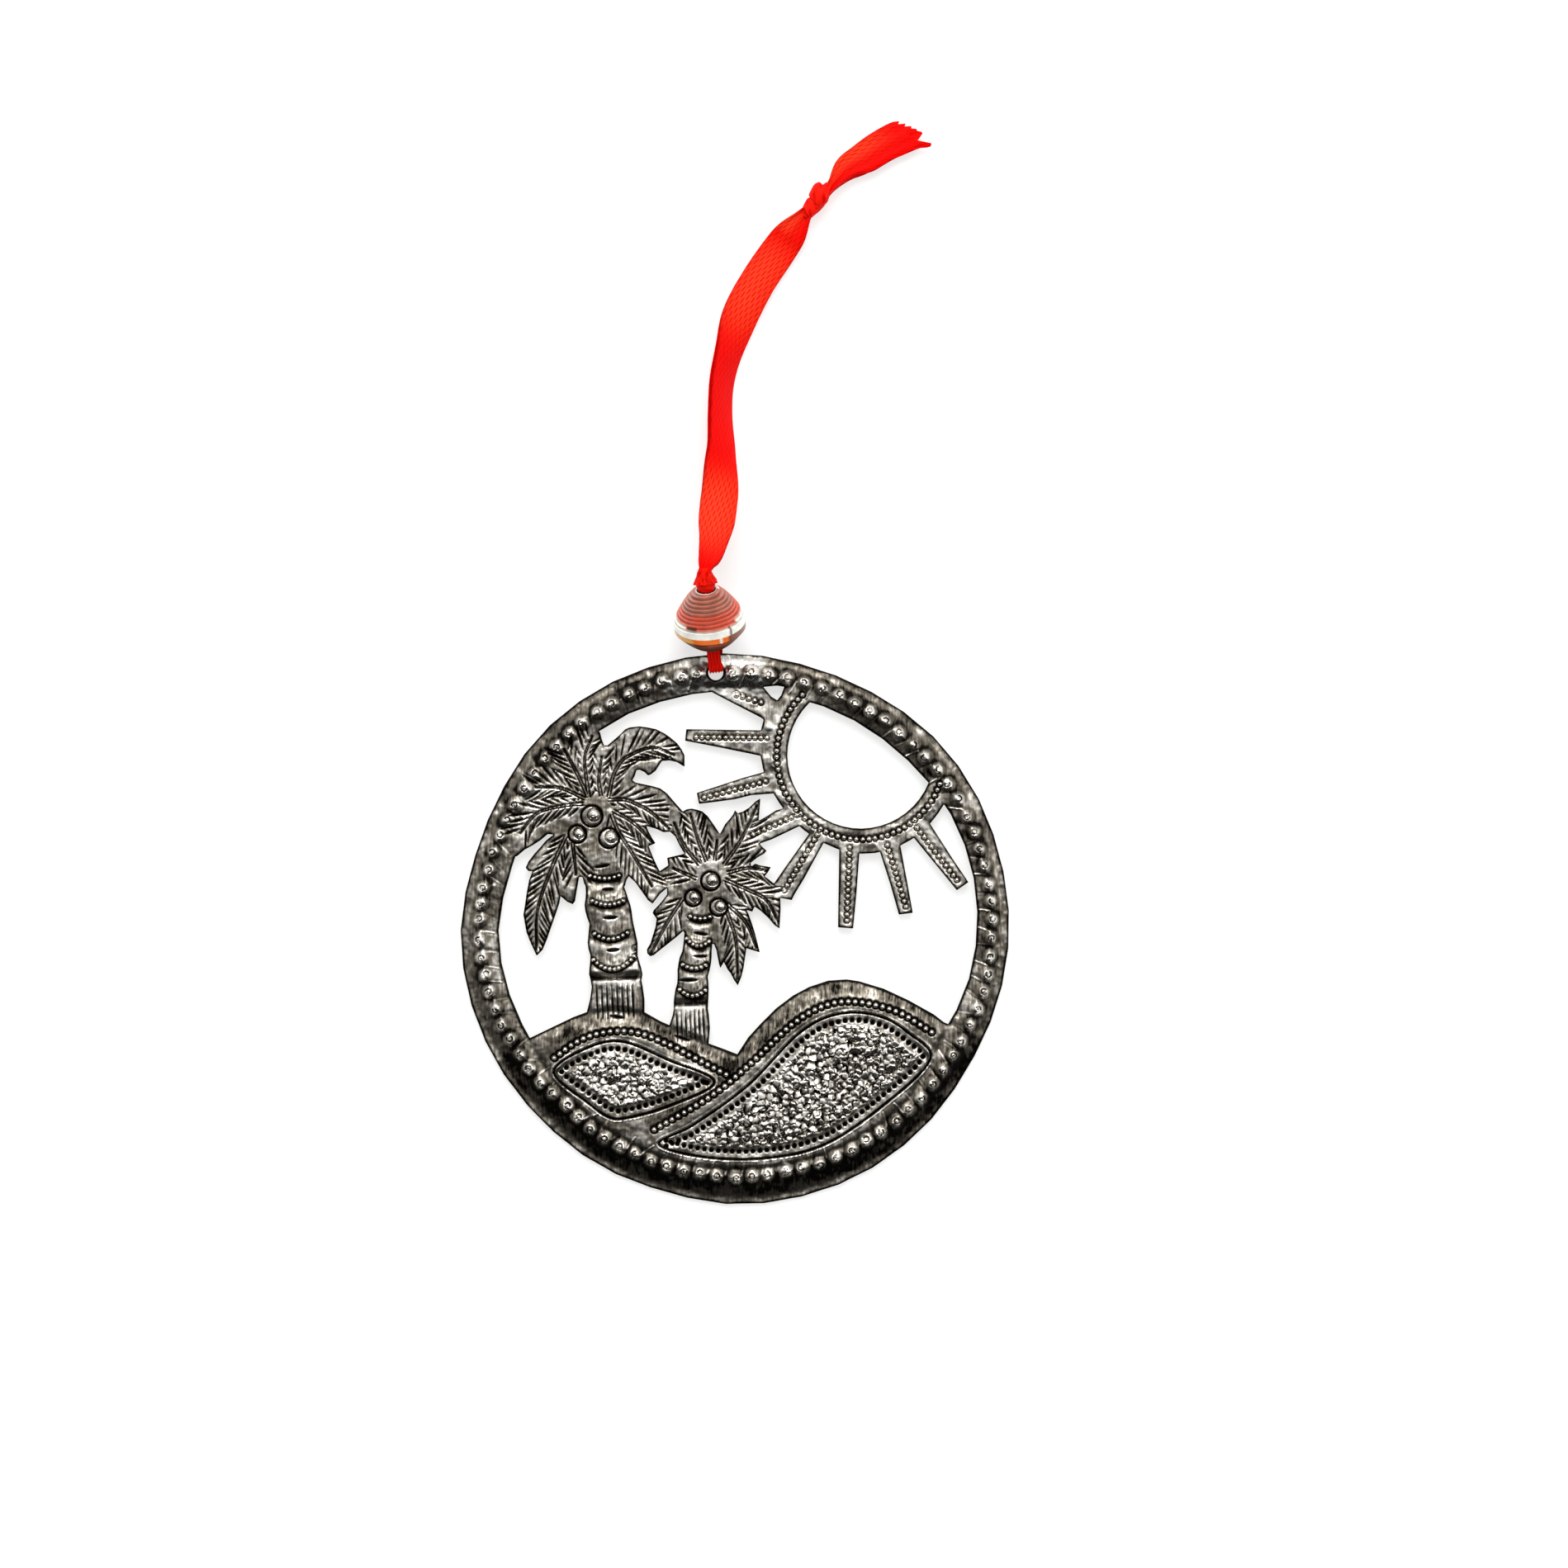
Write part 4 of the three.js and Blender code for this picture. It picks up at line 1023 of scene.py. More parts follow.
def steel_material():
    material, add = new_material("rubbed_steel")
    place = add("TexCoord").outputs["Object"]
    streaks = noise(add, add("Mapping", Vector=place, Scale=STREAK_SCALE, Rotation=STREAK_TURN), 1.0, 4.0)
    patches = noise(add, place, 240.0, 6.0)
    grain = noise(add, place, 900.0, 3.0)
    # Wear and patina, with painted shade in broad hollows and along the cut edges
    level = add("Attribute", attribute_name="wear_and_shade").outputs["Fac"]
    for waver, weight in ((streaks, 0.6), (patches, 0.75), (grain, 0.3)):
        centred = add("Math", waver, weight, -weight / 2, operation="MULTIPLY_ADD")
        level = add("Math", level, centred, operation="ADD")
    colour = colour_ramp(add, level, STEEL_COLOURS)
    rough = ranged(add, level, 0.2, 0.9, 0.52, 0.24)
    height = add("Math", streaks, grain, operation="ADD")
    bump = add("Bump", Strength=0.35, Distance=0.00012, Height=height)
    surface = add("BsdfPrincipled", Metallic=1.0, Base_Color=colour, Roughness=rough, Normal=bump)
    add("OutputMaterial", Surface=surface)
    return material


steel = steel_material()
for name, band in bands.items():
    obj = add_mesh(name, band.points, band.faces, steel)
    add_attribute(obj, "wear_and_shade", band.marks)
    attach(obj, "disc")
    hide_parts("steel_panel")
    print(name, "vertices:", len(obj.data.vertices))

# %% [markdown]
# ## The rolled-paper bead
#
# A long strip of printed paper, cut to a taper, is rolled on a thin rod, glued and varnished.
# The strip narrows as it is wound, so its edges climb both cones as spiral steps, and the cut
# was not quite even, so one cone is longer. At winding angle w the radius is r(w). Each turn
# adds a riser, from the turn under it up to r(w), and a tread, in to where the next turn starts.
# The print shows turn by turn, in patches that run part of the way round.

# %% Bead
BEAD_RADIUS = 6.35
BEAD_LOWER_CONE = 3.8
BEAD_BAND = 1.5
BEAD_UPPER_CONE = 5.7
BEAD_LENGTH = BEAD_LOWER_CONE + BEAD_BAND + BEAD_UPPER_CONE
BEAD_END_RADIUS = 2.1
BEAD_BORE_RADIUS = 1.65
BEAD_TURNS = 11
CONE_ROUNDNESS = 0.72  # below 1 the cones bulge
BEAD_AROUND = 96
HEADING = math.radians(96)
TILT = math.radians(32)
HOLE = np.array([-3.2, 44.29, 0.0])
HEAD = np.array([math.cos(HEADING), math.sin(HEADING), 0.0])
LOW_END_HEIGHT = 0.05 + BEAD_RADIUS * math.cos(TILT) - BEAD_LOWER_CONE * math.sin(TILT)
BEAD_LOW = HOLE + 4.75 * HEAD + np.array([0, 0, LOW_END_HEIGHT])
AXIS = math.cos(TILT) * HEAD + np.array([0, 0, math.sin(TILT)])
ACROSS = np.array([math.sin(HEADING), -math.cos(HEADING), 0.0])
RISE = np.cross(ACROSS, AXIS)
CREAM, BROWN, DARK = (0.98, 0.93, 0.80), (0.44, 0.15, 0.10), (0.10, 0.03, 0.015)
RED, OCHRE, ORANGE = (0.64, 0.10, 0.055), (0.66, 0.31, 0.05), (0.80, 0.16, 0.015)
RUST = (0.20, 0.06, 0.03)
# The print on the strip's two edges, each patch over those before it: from turn, to turn, from
# degree, to degree, ink
LOWER_PRINT = [
    (0, 12, 0, 360, RUST), (0, 6, 0, 360, DARK), (8, 9, 60, 100, RED), (9, 12, 96, 128, DARK),
    (10, 12, 0, 360, ORANGE), (10, 12, 122, 250, OCHRE), (10, 12, 74, 78, CREAM),
    (10, 12, 0, 63, RUST), (10, 12, 300, 360, RUST),
]
UPPER_PRINT = [
    (0, 12, 0, 360, RED), (0, 6, 0, 360, BROWN), (0, 1.1, 0, 360, CREAM), (9, 10, 135, 215, CREAM),
    (9, 10, 112, 132, DARK), (9, 10, 330, 360, CREAM), (9, 10, 0, 38, CREAM),
    (10, 12, 0, 360, CREAM), (10, 12, 54, 58, DARK),
]
# Painted shade on each turn's riser, and a painted highlight on its lip
RISER_SHADE, LIP_SHADE = 0.55, 1.15
ORANGE_SHARE = 0.44  # of the outermost turn's width; the rest is cream
SEAM_GAP = 0.03


def on_bead(radius, angle, along):
    """A point by distance from the bead's axis, angle round it and distance from its low end."""
    return BEAD_LOW + along[..., None] * AXIS + radius[..., None] * direction(angle, ACROSS, RISE)


def print_colours(turn, angle, patches):
    degrees = np.degrees(angle) % 360
    colours = np.zeros((len(turn), 3))
    for first, last, low, high, ink in patches:
        colours[(turn >= first) & (turn < last) & (degrees >= low) & (degrees < high)] = ink
    return colours


def bead_geometry():
    total = BEAD_TURNS * BEAD_AROUND
    turn = np.arange(total + 1) / BEAD_AROUND
    angle = 2 * math.pi * turn - 0.6
    cone = np.clip((turn - 1) / (BEAD_TURNS - 1), 0, 1)
    radius = BEAD_BORE_RADIUS + (BEAD_END_RADIUS - BEAD_BORE_RADIUS) * np.minimum(turn, 1)
    radius = radius + (BEAD_RADIUS - BEAD_END_RADIUS) * cone**CONE_ROUNDNESS
    under = np.where(turn > 1, np.roll(radius, BEAD_AROUND), BEAD_BORE_RADIUS)
    low_edge, high_edge = BEAD_LOWER_CONE * cone, BEAD_LENGTH - BEAD_UPPER_CONE * cone
    points, colours, faces = [], [], []
    mirror = 2 * (total + 1)
    # Risers and treads of both cones; the upper cone's faces run the other way round
    for base, along, patches in ((0, low_edge, LOWER_PRINT), (mirror, high_edge, UPPER_PRINT)):
        pair = [on_bead(under, angle, along), on_bead(radius, angle, along)]
        points.extend(np.stack(pair, axis=1).reshape(-1, 3))
        ink = print_colours(turn, angle, patches)
        colours.extend(np.stack([RISER_SHADE * ink, LIP_SHADE * ink], axis=1).reshape(-1, 3))
        for foot in range(base, base + 2 * total, 2):
            lip, over = foot + 1, foot + 2 * BEAD_AROUND
            quads = [(foot, lip, lip + 2, foot + 2)]
            if over < base + 2 * total:
                quads.append((lip, over, over + 2, lip + 2))
            faces.extend(quads if base == 0 else [q[::-1] for q in quads])
    for foot in range(0, 2 * BEAD_AROUND, 2):
        faces.append((foot + mirror, foot + 2 + mirror, foot + 2, foot))
    # The outermost turn has a cream part and an orange part, with a sharp line between them
    outer = np.arange(total - BEAD_AROUND, total + 1)
    seam = low_edge[outer] + ORANGE_SHARE * (high_edge[outer] - low_edge[outer])
    rows = [2 * outer + 1]
    for place, patches in ((seam - SEAM_GAP, LOWER_PRINT), (seam + SEAM_GAP, UPPER_PRINT)):
        rows.append(len(points) + np.arange(len(outer)))
        points.extend(on_bead(radius[outer], angle[outer], place))
        colours.extend(LIP_SHADE * print_colours(turn[outer], angle[outer], patches))
    rows.append(2 * outer + 1 + mirror)
    for low, high in zip(rows, rows[1:]):
        faces.extend(zip(low, low[1:], high[1:], high))
    # The strip's loose end, glued down
    end = 2 * total
    outline = [end, end + 1, rows[1][-1], rows[2][-1], end + 1 + mirror, end + mirror]
    faces.append(tuple(outline + [row[0] for row in reversed(rows)])[::-1])
    # The strip starts at the bore with no thickness, so its first points are one point
    start = {1: 0, 2 * BEAD_AROUND: 0, 1 + mirror: mirror, 2 * BEAD_AROUND + mirror: mirror}
    faces = [tuple(dict.fromkeys(start.get(k, k) for k in face)) for face in faces]
    return np.array(points), np.clip(colours, 0, 1), faces


def paper_material():
    """Varnished print, a little mottled, from the colours held at the points, which also carry
    painted shade on the risers and a painted highlight on the lips.
    """
    material, add = new_material("varnished_paper")
    ink = add("Attribute", attribute_name="ink").outputs["Color"]
    mottle = noise(add, add("TexCoord").outputs["Object"], 700.0, 4.0)
    shade = ranged(add, mottle, 0.3, 0.7, 0.8, 1.08)
    tint = add("VectorMath", ink, Scale=shade, operation="SCALE")
    coat = dict(Coat_Weight=0.5, Coat_Roughness=0.12)
    add("OutputMaterial", Surface=add("BsdfPrincipled", Base_Color=tint, Roughness=0.35, **coat))
    return material


bead_points, bead_colours, bead_faces = bead_geometry()
bead = add_mesh("paper_bead_rolled", bead_points, bead_faces, paper_material(), 35)
ink = bead.data.color_attributes.new("ink", "FLOAT_COLOR", "POINT")
ink.data.foreach_set("color", np.c_[bead_colours, np.ones(len(bead_colours))].ravel())
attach(bead, "bead")
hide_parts("paper_bead")
print("bead faces:", len(bead_faces), "length:", BEAD_LENGTH)

# %% [markdown]
# ## The ribbon
#
# Satin ribbon 6.35 mm wide. Where it is squeezed it gathers into pleats: the narrower it
# gets, the deeper they are, so its true width is kept. One ribbon is a sheet along a path of
# (x, y, z, roll, width); its sides turn about the path by the roll.

# %% Ribbon
RIBBON_WIDTH = 6.35
RIBBON_THICKNESS = 0.22
# Strength of the painted highlight on ribbon where no spots are given
PLAIN_PAINTED_SHEEN = 0.2
PLEATS = 2.5
UPRIGHT = np.array([0.0, 0.0, 1.0])


def satin_material():
    """Red satin: deep red, with painted shade along its edges, and the slanting dashes of its weave,
    which take a painted highlight as strongly as the painted-sheen attribute says."""
    material, add = new_material("red_satin")
    along, across, painted_sheen = (
        add("Attribute", attribute_name=name).outputs["Fac"] for name in ("along_mm", "across_mm", "painted_sheen")
    )

    def wave(per_mm_along, per_mm_across):
        """sin(2 pi (along * per_mm_along + across * per_mm_across))."""
        turn = add("Math", across, 2 * math.pi * per_mm_across, operation="MULTIPLY")
        turn = add("Math", along, 2 * math.pi * per_mm_along, turn, operation="MULTIPLY_ADD")
        return add("Math", turn, operation="SINE")

    # Threads lie at a slant, 0.5 mm apart, and show as dashes 1.5 mm apart, row by row in turn
    raised_dashes = add("Math", wave(0.67, 1.0), 0.55, operation="ADD")
    weave = add("Math", wave(0.35, 2.0), raised_dashes, operation="MINIMUM")
    # Painted highlight: the weave turns a brighter orange red, as strongly as the painted sheen says
    painted_glint = add("Math", ranged(add, weave, 0.0, 0.6, 0.5, 0.0), painted_sheen, operation="MULTIPLY")
    deep, bright = (0.79, 0.002, 0.001, 1), (0.76, 0.075, 0.022, 1)
    red = add("MixRGB", Fac=painted_glint, Color1=deep, Color2=bright)
    # Painted shade along the ribbon's two edges
    edge_shade = ranged(add, add("Math", across, operation="ABSOLUTE"), 2.9, 3.1, 1.0, 0.78)
    dash_shade = ranged(add, weave, 0.1, 0.9, 1.0, 0.74)
    shade = add("Math", edge_shade, dash_shade, operation="MULTIPLY")
    colour = add("VectorMath", red, Scale=shade, operation="SCALE")
    bump = add("Bump", Strength=0.2, Distance=-0.0001, Height=weave)
    look = dict(Base_Color=colour, Roughness=0.5, Specular_IOR_Level=0.03, Normal=bump)
    add("OutputMaterial", Surface=add("BsdfPrincipled", **look))
    return material


satin = satin_material()


def two_faced(sheet, normal, thickness, centre, across):
    """Both faces of a thin sheet as rings, and the distance along and across at each point."""
    half = thickness / 2 * normal[:, None]
    ring = np.concatenate([sheet + half, (sheet - half)[:, ::-1]], axis=1)
    along_mm = np.repeat(run_along(centre)[:, None], ring.shape[1], axis=1)
    across_mm = np.repeat(np.concatenate([across, across[::-1]])[None], len(ring), axis=0)
    return ring, along_mm, across_mm


def ribbon_sheet(route, rows, shift, end_cut):
    """A ribbon's rings and centre line: P = path + side * a + face * (shift + pleat(a)), with
    a across it. The pleats' depth grows with the share of the width that is lost. `end_cut`
    gives how far the last row reaches past the path's end at each place across."""
    path = along_curve(route, rows)
    centre, roll, width = path[:, :3], np.radians(path[:, 3]), path[:, 4]
    way = unit(np.gradient(centre, axis=0))
    level = unit(np.cross(UPRIGHT, way))
    side = direction(roll, level, np.cross(way, level))
    normal = np.cross(way, side)
    a = np.linspace(-1, 1, 33)
    lost = np.clip(1 - width / RIBBON_WIDTH, 0, 1)[:, None]
    pleat = np.sin(math.pi * PLEATS * a + 0.9) * 0.95 * lost**0.8 * (0.4 + 0.6 * np.abs(a))
    bow = -0.22 * (a**2 - 0.5) * (1 - lost)
    sheet = centre[:, None] + side[:, None] * (a * width[:, None] / 2)[..., None]
    sheet = sheet + normal[:, None] * (shift + 0.5 * pleat + bow)[..., None]
    fade = np.linspace(0, 1, rows)[:, None] ** 9
    sheet = sheet + way[:, None] * (fade * end_cut(a))[..., None]
    return two_faced(sheet, normal, RIBBON_THICKNESS, centre, a * RIBBON_WIDTH / 2), centre


def add_satin(name, points, faces, along_mm, across_mm, painted_sheen=PLAIN_PAINTED_SHEEN):
    """A piece of ribbon with what its material reads: place along and across it, and the strength of its
    painted highlight.
    """
    obj = add_mesh(name, points, faces, satin, 70)
    add_attribute(obj, "along_mm", along_mm)
    add_attribute(obj, "across_mm", across_mm)
    add_attribute(obj, "painted_sheen", painted_sheen * np.ones(len(along_mm)))
    return obj


def add_ribbon(name, ring, along_mm, across_mm, painted_sheen=PLAIN_PAINTED_SHEEN):
    faces = skin_faces(*ring.shape[:2])
    return add_satin(name, ring.reshape(-1, 3), faces, along_mm.ravel(), across_mm.ravel(), painted_sheen)


print("satin ready")

# %% [markdown]
# The doubled ribbon leaves the neck knot, comes down to the table, lies on edge for a while
# where it twists, turns flat again, is squeezed by the end knot, and ends in two cut tails.

# %% The loop's two sides
KNOT_CLEARANCE = 0.3
NECK_KNOT_LENGTH = 3.8
KNOT_TOP = BEAD_LOW + AXIS * (BEAD_LENGTH + KNOT_CLEARANCE + NECK_KNOT_LENGTH)
END_KNOT_HEIGHT = 2.15
# Offsets in x and y from the neck knot's top, how far raised towards the nearer knot's height
# from lying on the table, roll in degrees and width
LOOP_ROUTE = [
    [0.1, -1.0, 1.0, 0, 1.5], [0.5, 0.9, 0.98, 0, 3.0], [1.1, 2.4, 0.91, 0, 4.1],
    [1.7, 5.3, 0.80, 0, 5.1], [2.1, 8.2, 0.67, 0, 6.2], [2.4, 11.1, 0.51, 8, 6.35],
    [2.7, 14.1, 0.36, 20, 6.35], [2.8, 18.4, 0.19, 38, 6.35], [2.9, 21.8, 0.08, 50, 6.35],
    [2.7, 27.1, 0.0, 57, 6.35], [3.0, 32.7, 0.0, 57, 6.35], [4.3, 38.4, 0.0, 49, 6.35],
    [6.1, 44.2, 0.0, 22, 6.35], [9.0, 50.0, 0.0, 5, 6.2], [12.8, 55.7, 0.0, 0, 6.0],
    [15.0, 58.6, 0.6, 0, 5.2], [17.0, 61.3, 1.0, 0, 2.6], [18.2, 62.6, 1.0, 0, 2.0],
    [20.6, 65.2, 1.0, 0, 1.8], [22.0, 66.7, 1.0, 0, 2.0], [24.4, 69.4, 0.7, 0, 4.4],
    [27.2, 71.1, 0.45, 0, 5.3], [29.9, 72.8, 0.35, 0, 5.6], [32.6, 74.2, 0.3, 0, 5.7],
    [33.9, 74.7, 0.3, 0, 5.7],
]
NEAR_NECK = 12  # rows of the route whose nearer knot is the neck's
TAILS_FROM = 19
LOOP_ROWS = 190
# Where a painted highlight shows the light that the satin catches: distance along, reach along,
# place across from the right edge (-1) to the left (1), and reach across
PAINTED_SHEEN_SPOTS = [(12, 7.5, 0.2, 2.0), (53, 9, 0.1, 1.5), (66, 2.5, 0.6, 0.7), (80, 7, 0.7, 0.6)]
# Each side: offset from the pair's middle, turn of its tail, and its end: how far each place
# across reaches, and by how much it is frayed
SIDES = {
    "front": (0.32, 0.0, [-1, -0.85, -0.3, 1], [4.3, 4.7, 2.0, 0], 0.25),
    "back": (-0.32, 0.04, [-1, -0.3, 0.3, 1], [1.0, 4.0, 2.4, 0.2], 0.4),
}


def lying_height(roll, width):
    """The height of the pair's middle when it lies on the table at a roll and a width."""
    return 0.3 + 0.55 * math.cos(math.radians(roll)) + width / 2 * math.sin(math.radians(roll))


def loop_route(tail_turn):
    """The route in place, with its tail turned a little round its root."""
    rows = []
    root = np.array(LOOP_ROUTE[TAILS_FROM][:2])
    c, s = math.cos(tail_turn), math.sin(tail_turn)
    for k, (x, y, raised, roll, width) in enumerate(LOOP_ROUTE):
        if k > TAILS_FROM:
            dx, dy = x - root[0], y - root[1]
            x, y = root[0] + c * dx - s * dy, root[1] + s * dx + c * dy
        knot_height = KNOT_TOP[2] if k < NEAR_NECK else END_KNOT_HEIGHT
        height = lying_height(roll, width) * (1 - raised) + knot_height * raised
        rows.append([KNOT_TOP[0] + x, KNOT_TOP[1] + y, height, roll, width])
    return np.array(rows)


def painted_sheen_at(along_mm, across_mm):
    """Strength of the painted highlight at places on the loop: the strongest of the spots there."""
    best = np.zeros(along_mm.size)
    for middle, reach, place, width in PAINTED_SHEEN_SPOTS:
        along, across = (along_mm - middle) / reach, (across_mm / (RIBBON_WIDTH / 2) - place) / width
        best = np.maximum(best, np.exp(-(along**4) - across**2).ravel())
    return best


loop_paths = {}
for side, (shift, turn, places, reaches, fray) in SIDES.items():
    def end_cut(a):
        """How far the end reaches at each place across: straight snips, frayed a little."""
        return np.interp(a, places, reaches) + fray * np.sin(23 * a) * np.clip(a + 0.4, 0, 1)

    sheet, centre = ribbon_sheet(loop_route(turn), LOOP_ROWS, shift, end_cut)
    obj = add_ribbon(f"ribbon_{side}", *sheet, painted_sheen_at(*sheet[1:]))
    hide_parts(f"ribbon_leg_{side}", f"ribbon_tail_{side}")
    loop_paths[side] = (obj, centre)
    print(obj.name, "lies as low as", round(float(sheet[0][..., 2].min()), 2), "mm")

# %% [markdown]
# ## Strap, neck and knots
#
# At the hole the doubled ribbon is a loop passed through the steel: it comes over the rim's
# edge, dives into the hole and returns under the edge, then both halves enter the bead. A knot
# is a core of gathered strands with turns round it: bands that lie flat where they cross, and
# at the neck a pleated skirt over the bead's end.

# %% Strap and neck
# Distance out from the hole, height, width and shift to the right, from the bead over the
# edge, down the hole and back under the edge
STRAP_ROUTE = [
    [5.14, 4.31, 2.0, 0], [4.1, 3.8, 2.2, 0], [3.0, 3.6, 2.3, 0], [1.8, 3.42, 2.3, 0.05],
    [0.95, 3.4, 2.6, 0.15], [0.4, 2.95, 2.3, 0.1], [0.2, 2.2, 2.0, 0], [0.3, 1.5, 2.0, 0],
    [0.8, 0.9, 2.1, 0.05], [1.9, 0.52, 2.2, 0.2], [3.3, 0.46, 2.2, 0.4], [4.2, 1.2, 2.3, 0.45],
    [4.8, 2.3, 2.2, 0.3], [5.72, 3.38, 2.0, 0],
]
STRAP_THICKNESS = 0.28
STRAND_RADIUS = 1.3
NECK_LENGTH = BEAD_LENGTH + KNOT_CLEARANCE + 0.8


def strap():
    """A pleated ribbon near the upright plane through the hole and the bead's axis."""
    p = along_curve(STRAP_ROUTE, 90)
    a = np.linspace(-1, 1, 21)
    centre = HOLE + p[:, :1] * HEAD + p[:, 1:2] * UPRIGHT + p[:, 3:] * ACROSS
    normal = unit(np.cross(unit(np.gradient(centre, axis=0)), ACROSS))
    pleat = 0.13 * np.sin(4 * math.pi * a + 0.4)
    sheet = centre[:, None] + ACROSS * (a * p[:, 2:3] / 2)[..., None]
    sheet = sheet + normal[:, None] * pleat[:, None]
    return two_faced(sheet, normal, STRAP_THICKNESS, centre, a * 0.8 * RIBBON_WIDTH / 2)


def bundle(start, length, radius, rows=24, around=40):
    """The gathered strands: a rod whose radius wavers round it like pleats."""
    along, angle = np.linspace(0, length, rows)[:, None], full_turn(around)
    r = radius * (1 - 0.1 * (1 + np.sin(7 * angle + 0.4 * along)))
    points = start + along[..., None] * AXIS + r[..., None] * direction(angle, ACROSS, RISE)
    return points, np.repeat(along, around, axis=1), np.repeat((r * angle)[:1], rows, axis=0)


strap_obj = add_ribbon("ribbon_over_rim", *strap())
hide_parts("ribbon_strap")
neck_obj = add_ribbon("ribbon_in_bead", *bundle(BEAD_LOW - 0.1 * AXIS, NECK_LENGTH, STRAND_RADIUS))
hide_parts("ribbon_neck")
print("neck length:", round(NECK_LENGTH, 2))

# %% Knots
THREAD_SPREAD = 0.4  # distance across counted for each radian round a knot
# Bands: distance along from the knot's middle, share of its radius, width, lean and shift to
# the right. Skirts: distance along of the top, length, top radius and hem radius
NECK_BANDS = [(-1.15, 0.88, 2.0, 0.15, 0)]
NECK_SKIRTS = [(1.9, 2.7, 0.8, 1.95)]
END_BANDS = [(0.9, 1.0, 2.9, -0.5, -0.3), (-1.7, 0.76, 2.2, -0.5, -0.2)]
END_WAY = np.array([4.3, 5.6, 0.0])


def across_rows(angle, rows):
    return np.repeat((angle * THREAD_SPREAD)[None], rows, axis=0)


def knot_band(middle, axis, up, radius, width, lean):
    """One turn of ribbon round the strands that starts and ends in the core, below: an oval
    section carried along a leaning ring that shrinks near both its ends."""
    rows, around = 90, 18
    t = np.linspace(0, 1, rows)
    angle = math.pi + 2 * math.pi * t
    tuck = np.clip(np.minimum(t, 1 - t) / 0.14, 0, 1) ** 0.6
    distance = radius * (0.3 + 0.7 * tuck) * (0.76 + 0.06 * np.sin(2 * angle))
    out = direction(angle, up, np.cross(axis, up))
    centre = middle + distance[:, None] * out + (lean * np.sin(angle))[:, None] * axis
    way = unit(np.gradient(centre, axis=0))
    normal = unit(out - way * np.sum(out * way, axis=1, keepdims=True))
    flat = np.cross(way, normal)
    v = full_turn(around)
    squeeze = (0.35 + 0.65 * tuck)[:, None]
    wide = width / 2 * squeeze * np.cos(v)
    deep = radius * 0.3 * squeeze * np.sin(v) * (1 + 0.18 * np.cos(3 * v))
    ring = centre[:, None] + flat[:, None] * wide[..., None] + normal[:, None] * deep[..., None]
    return ring, np.repeat(run_along(centre)[:, None], around, axis=1), across_rows(v, rows)


def knot_skirt(top, axis, up, length, top_radius, hem_radius):
    """A turn that spreads over the one under it: a pleated cone with a doubled wall, whose hem
    hangs lowest at its two sides. Its rows run down the outside and back up the inside."""
    v = full_turn(72)[:, None]
    down = np.linspace(0, 1, 14)
    t = np.r_[down, down[::-1]][None, :]
    wall = np.repeat([0, 0.25], 14)
    flare = t * (1 + 0.07 * np.sin(9 * v + 1) + 0.1 * np.cos(2 * v + math.pi))
    radius = top_radius + (hem_radius - top_radius) * flare - wall
    reach = length * t * (0.82 + 0.18 * np.abs(np.sin(v)) ** 3)
    points = top - reach[..., None] * axis + radius[..., None] * direction(v, up, np.cross(up, axis))
    return points, reach, 1.2 * v * np.ones_like(t)


def knot_core(middle, axis, up, radius, length):
    """The strands inside a knot: a pleated spindle, pinched where it leaves."""
    rows, around = 30, 40
    t, v = np.linspace(-1, 1, rows)[:, None], full_turn(around)
    r = radius * (0.42 + 0.42 * np.cos(t * math.pi / 2)) * (1 + 0.06 * np.sin(7 * v))
    out = direction(v, up, np.cross(up, axis))
    points = middle + (t * length / 2)[..., None] * axis + r[..., None] * out
    return points, np.repeat(t, around, axis=1) * length / 2, across_rows(v, rows)


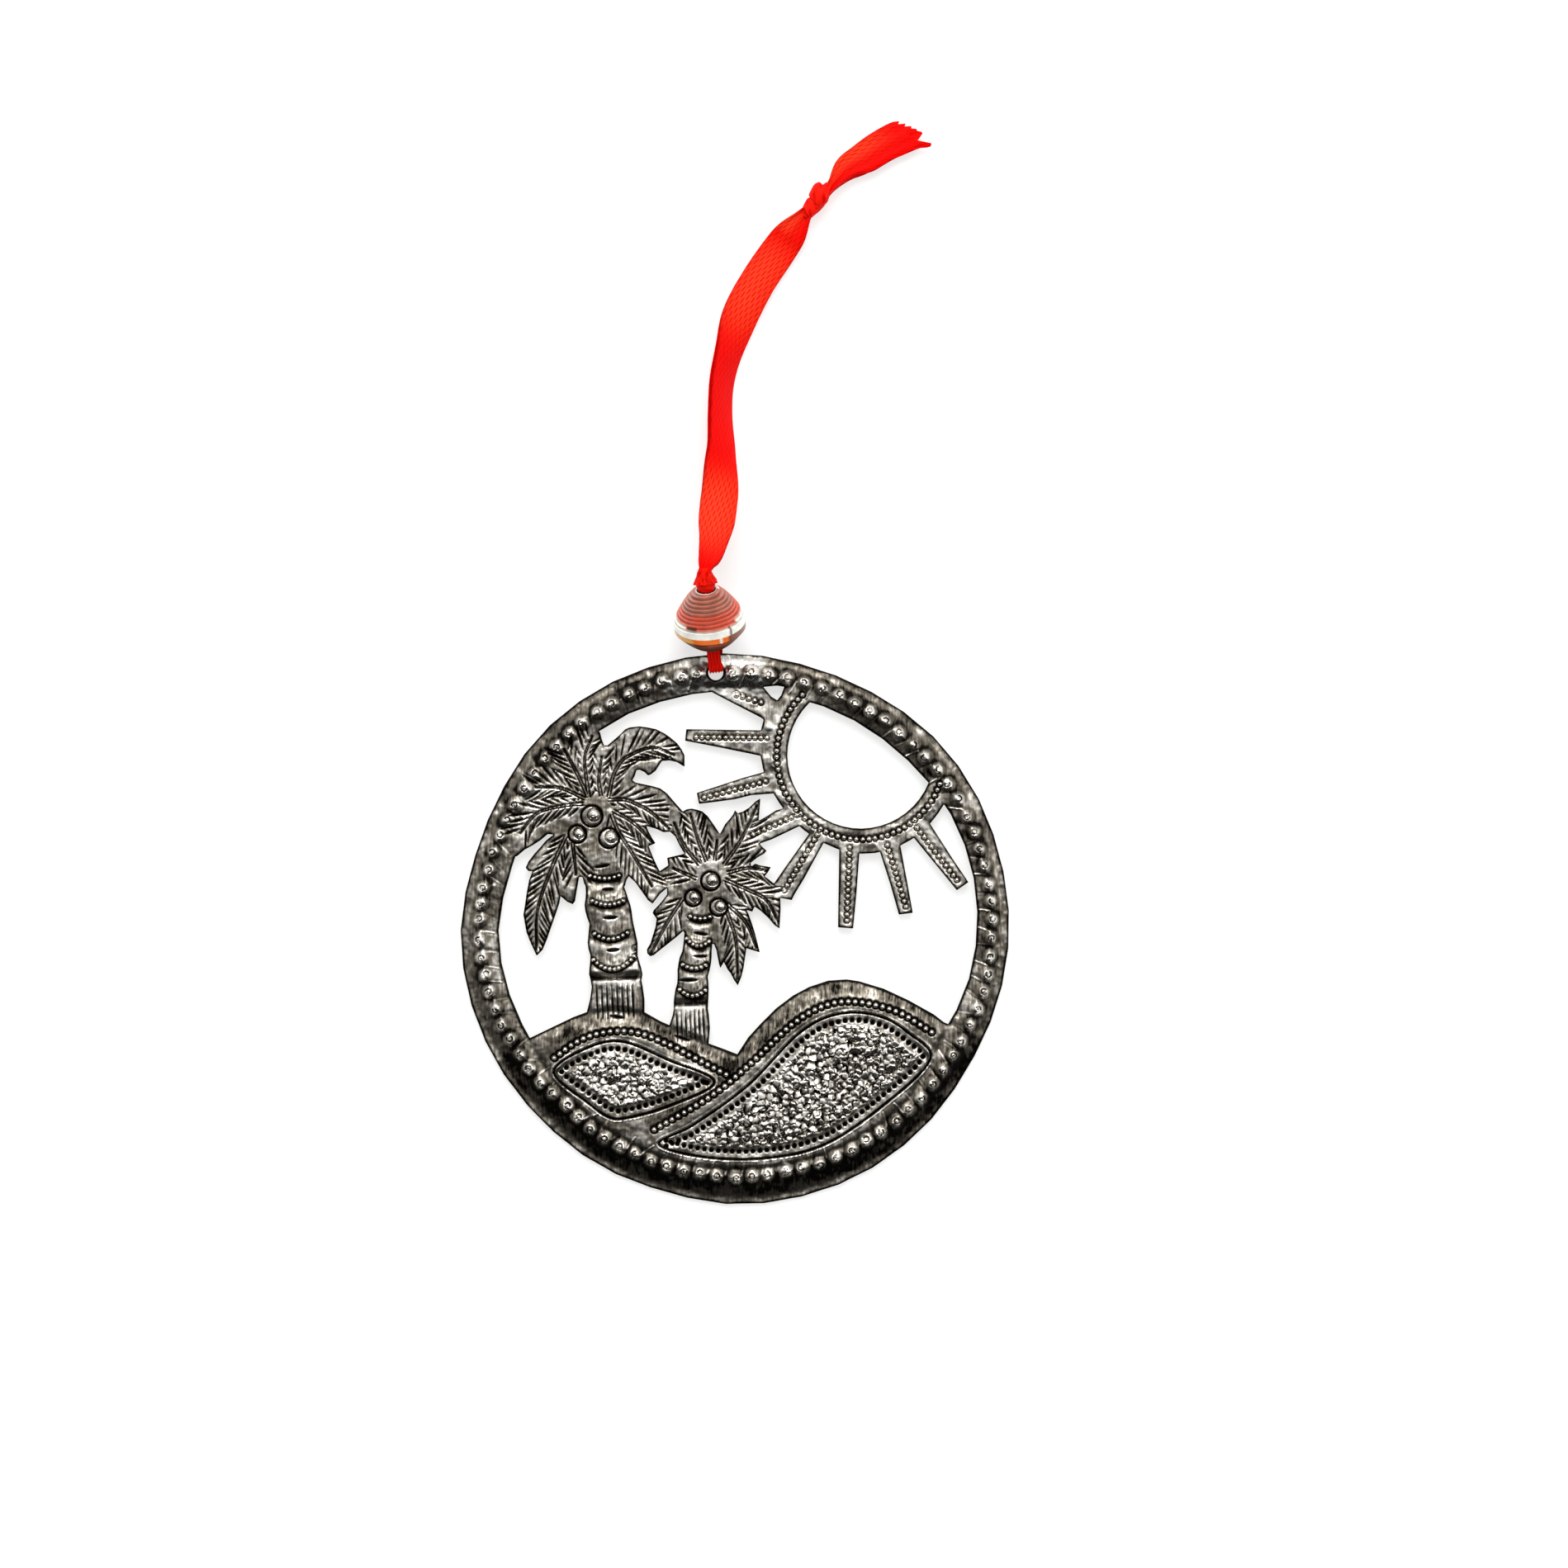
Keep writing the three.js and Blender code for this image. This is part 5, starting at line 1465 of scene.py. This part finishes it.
def knot(name, middle, axis, up, radius, length, bands, skirts=()):
    """A core and the turns round it, joined as one object."""
    axis = unit(axis)
    up = unit(up - axis * (up @ axis))
    right = np.cross(axis, up)
    parts = [(*knot_core(middle, axis, up, radius, length), False)]
    for along, share, width, lean, shift in bands:
        centre = middle + along * axis + shift * right
        parts.append((*knot_band(centre, axis, up, share * radius, width, lean), False))
    for along, *sizes in skirts:
        parts.append((*knot_skirt(middle + along * axis, axis, up, *sizes), True))
    points, faces, along_mm, across_mm = [], [], [], []
    for ring, along, across, closed_rows in parts:
        base = len(points)
        points.extend(ring.reshape(-1, 3))
        faces.extend(tuple(k + base for k in f) for f in skin_faces(*ring.shape[:2], closed_rows))
        along_mm.extend(along.ravel())
        across_mm.extend(across.ravel())
    return add_satin(name, points, faces, along_mm, across_mm)


neck_middle = KNOT_TOP - AXIS * (NECK_KNOT_LENGTH / 2 + 0.1)
neck_sizes = (1.75, NECK_KNOT_LENGTH + 0.6, NECK_BANDS, NECK_SKIRTS)
neck_knot = knot("neck_knot_tied", neck_middle, AXIS, RISE, *neck_sizes)
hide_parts("neck_knot")
end_middle = np.array([KNOT_TOP[0] + 19.3, KNOT_TOP[1] + 63.9, END_KNOT_HEIGHT])
end_knot = knot("end_knot_tied", end_middle, END_WAY, UPRIGHT, 1.7, 7.0, END_BANDS)
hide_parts("end_knot")
print("knots tied")

# %% [markdown]
# ## What moves with what
#
# The neck and its knot go with the neck's body, the end knot with the loop's. The strap and
# the loop's two sides have their placing baked into their points.

# %% Bodies and cord lengths
BEND_ROWS = (3, 24)  # two rows of the loop, near its neck end


def place(point):
    return [float(v) * MM for v in point]


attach(neck_obj, "neck")
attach(neck_knot, "neck")
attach(end_knot, "loop")
place(HOLE + 3.3 * HEAD + [0, 0, 1.6])
place(BEAD_LOW + 0.5 * AXIS)
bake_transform(strap_obj)
for side, (obj, centre) in loop_paths.items():
    begin, end = (centre[row] for row in BEND_ROWS)
    place(begin)
    place(end)
    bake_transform(obj)
    place(centre[0])
    [place(p) for p in centre[::3]]
print("cord lengths:", {side: round(curve_length(c), 1) for side, (_, c) in loop_paths.items()})
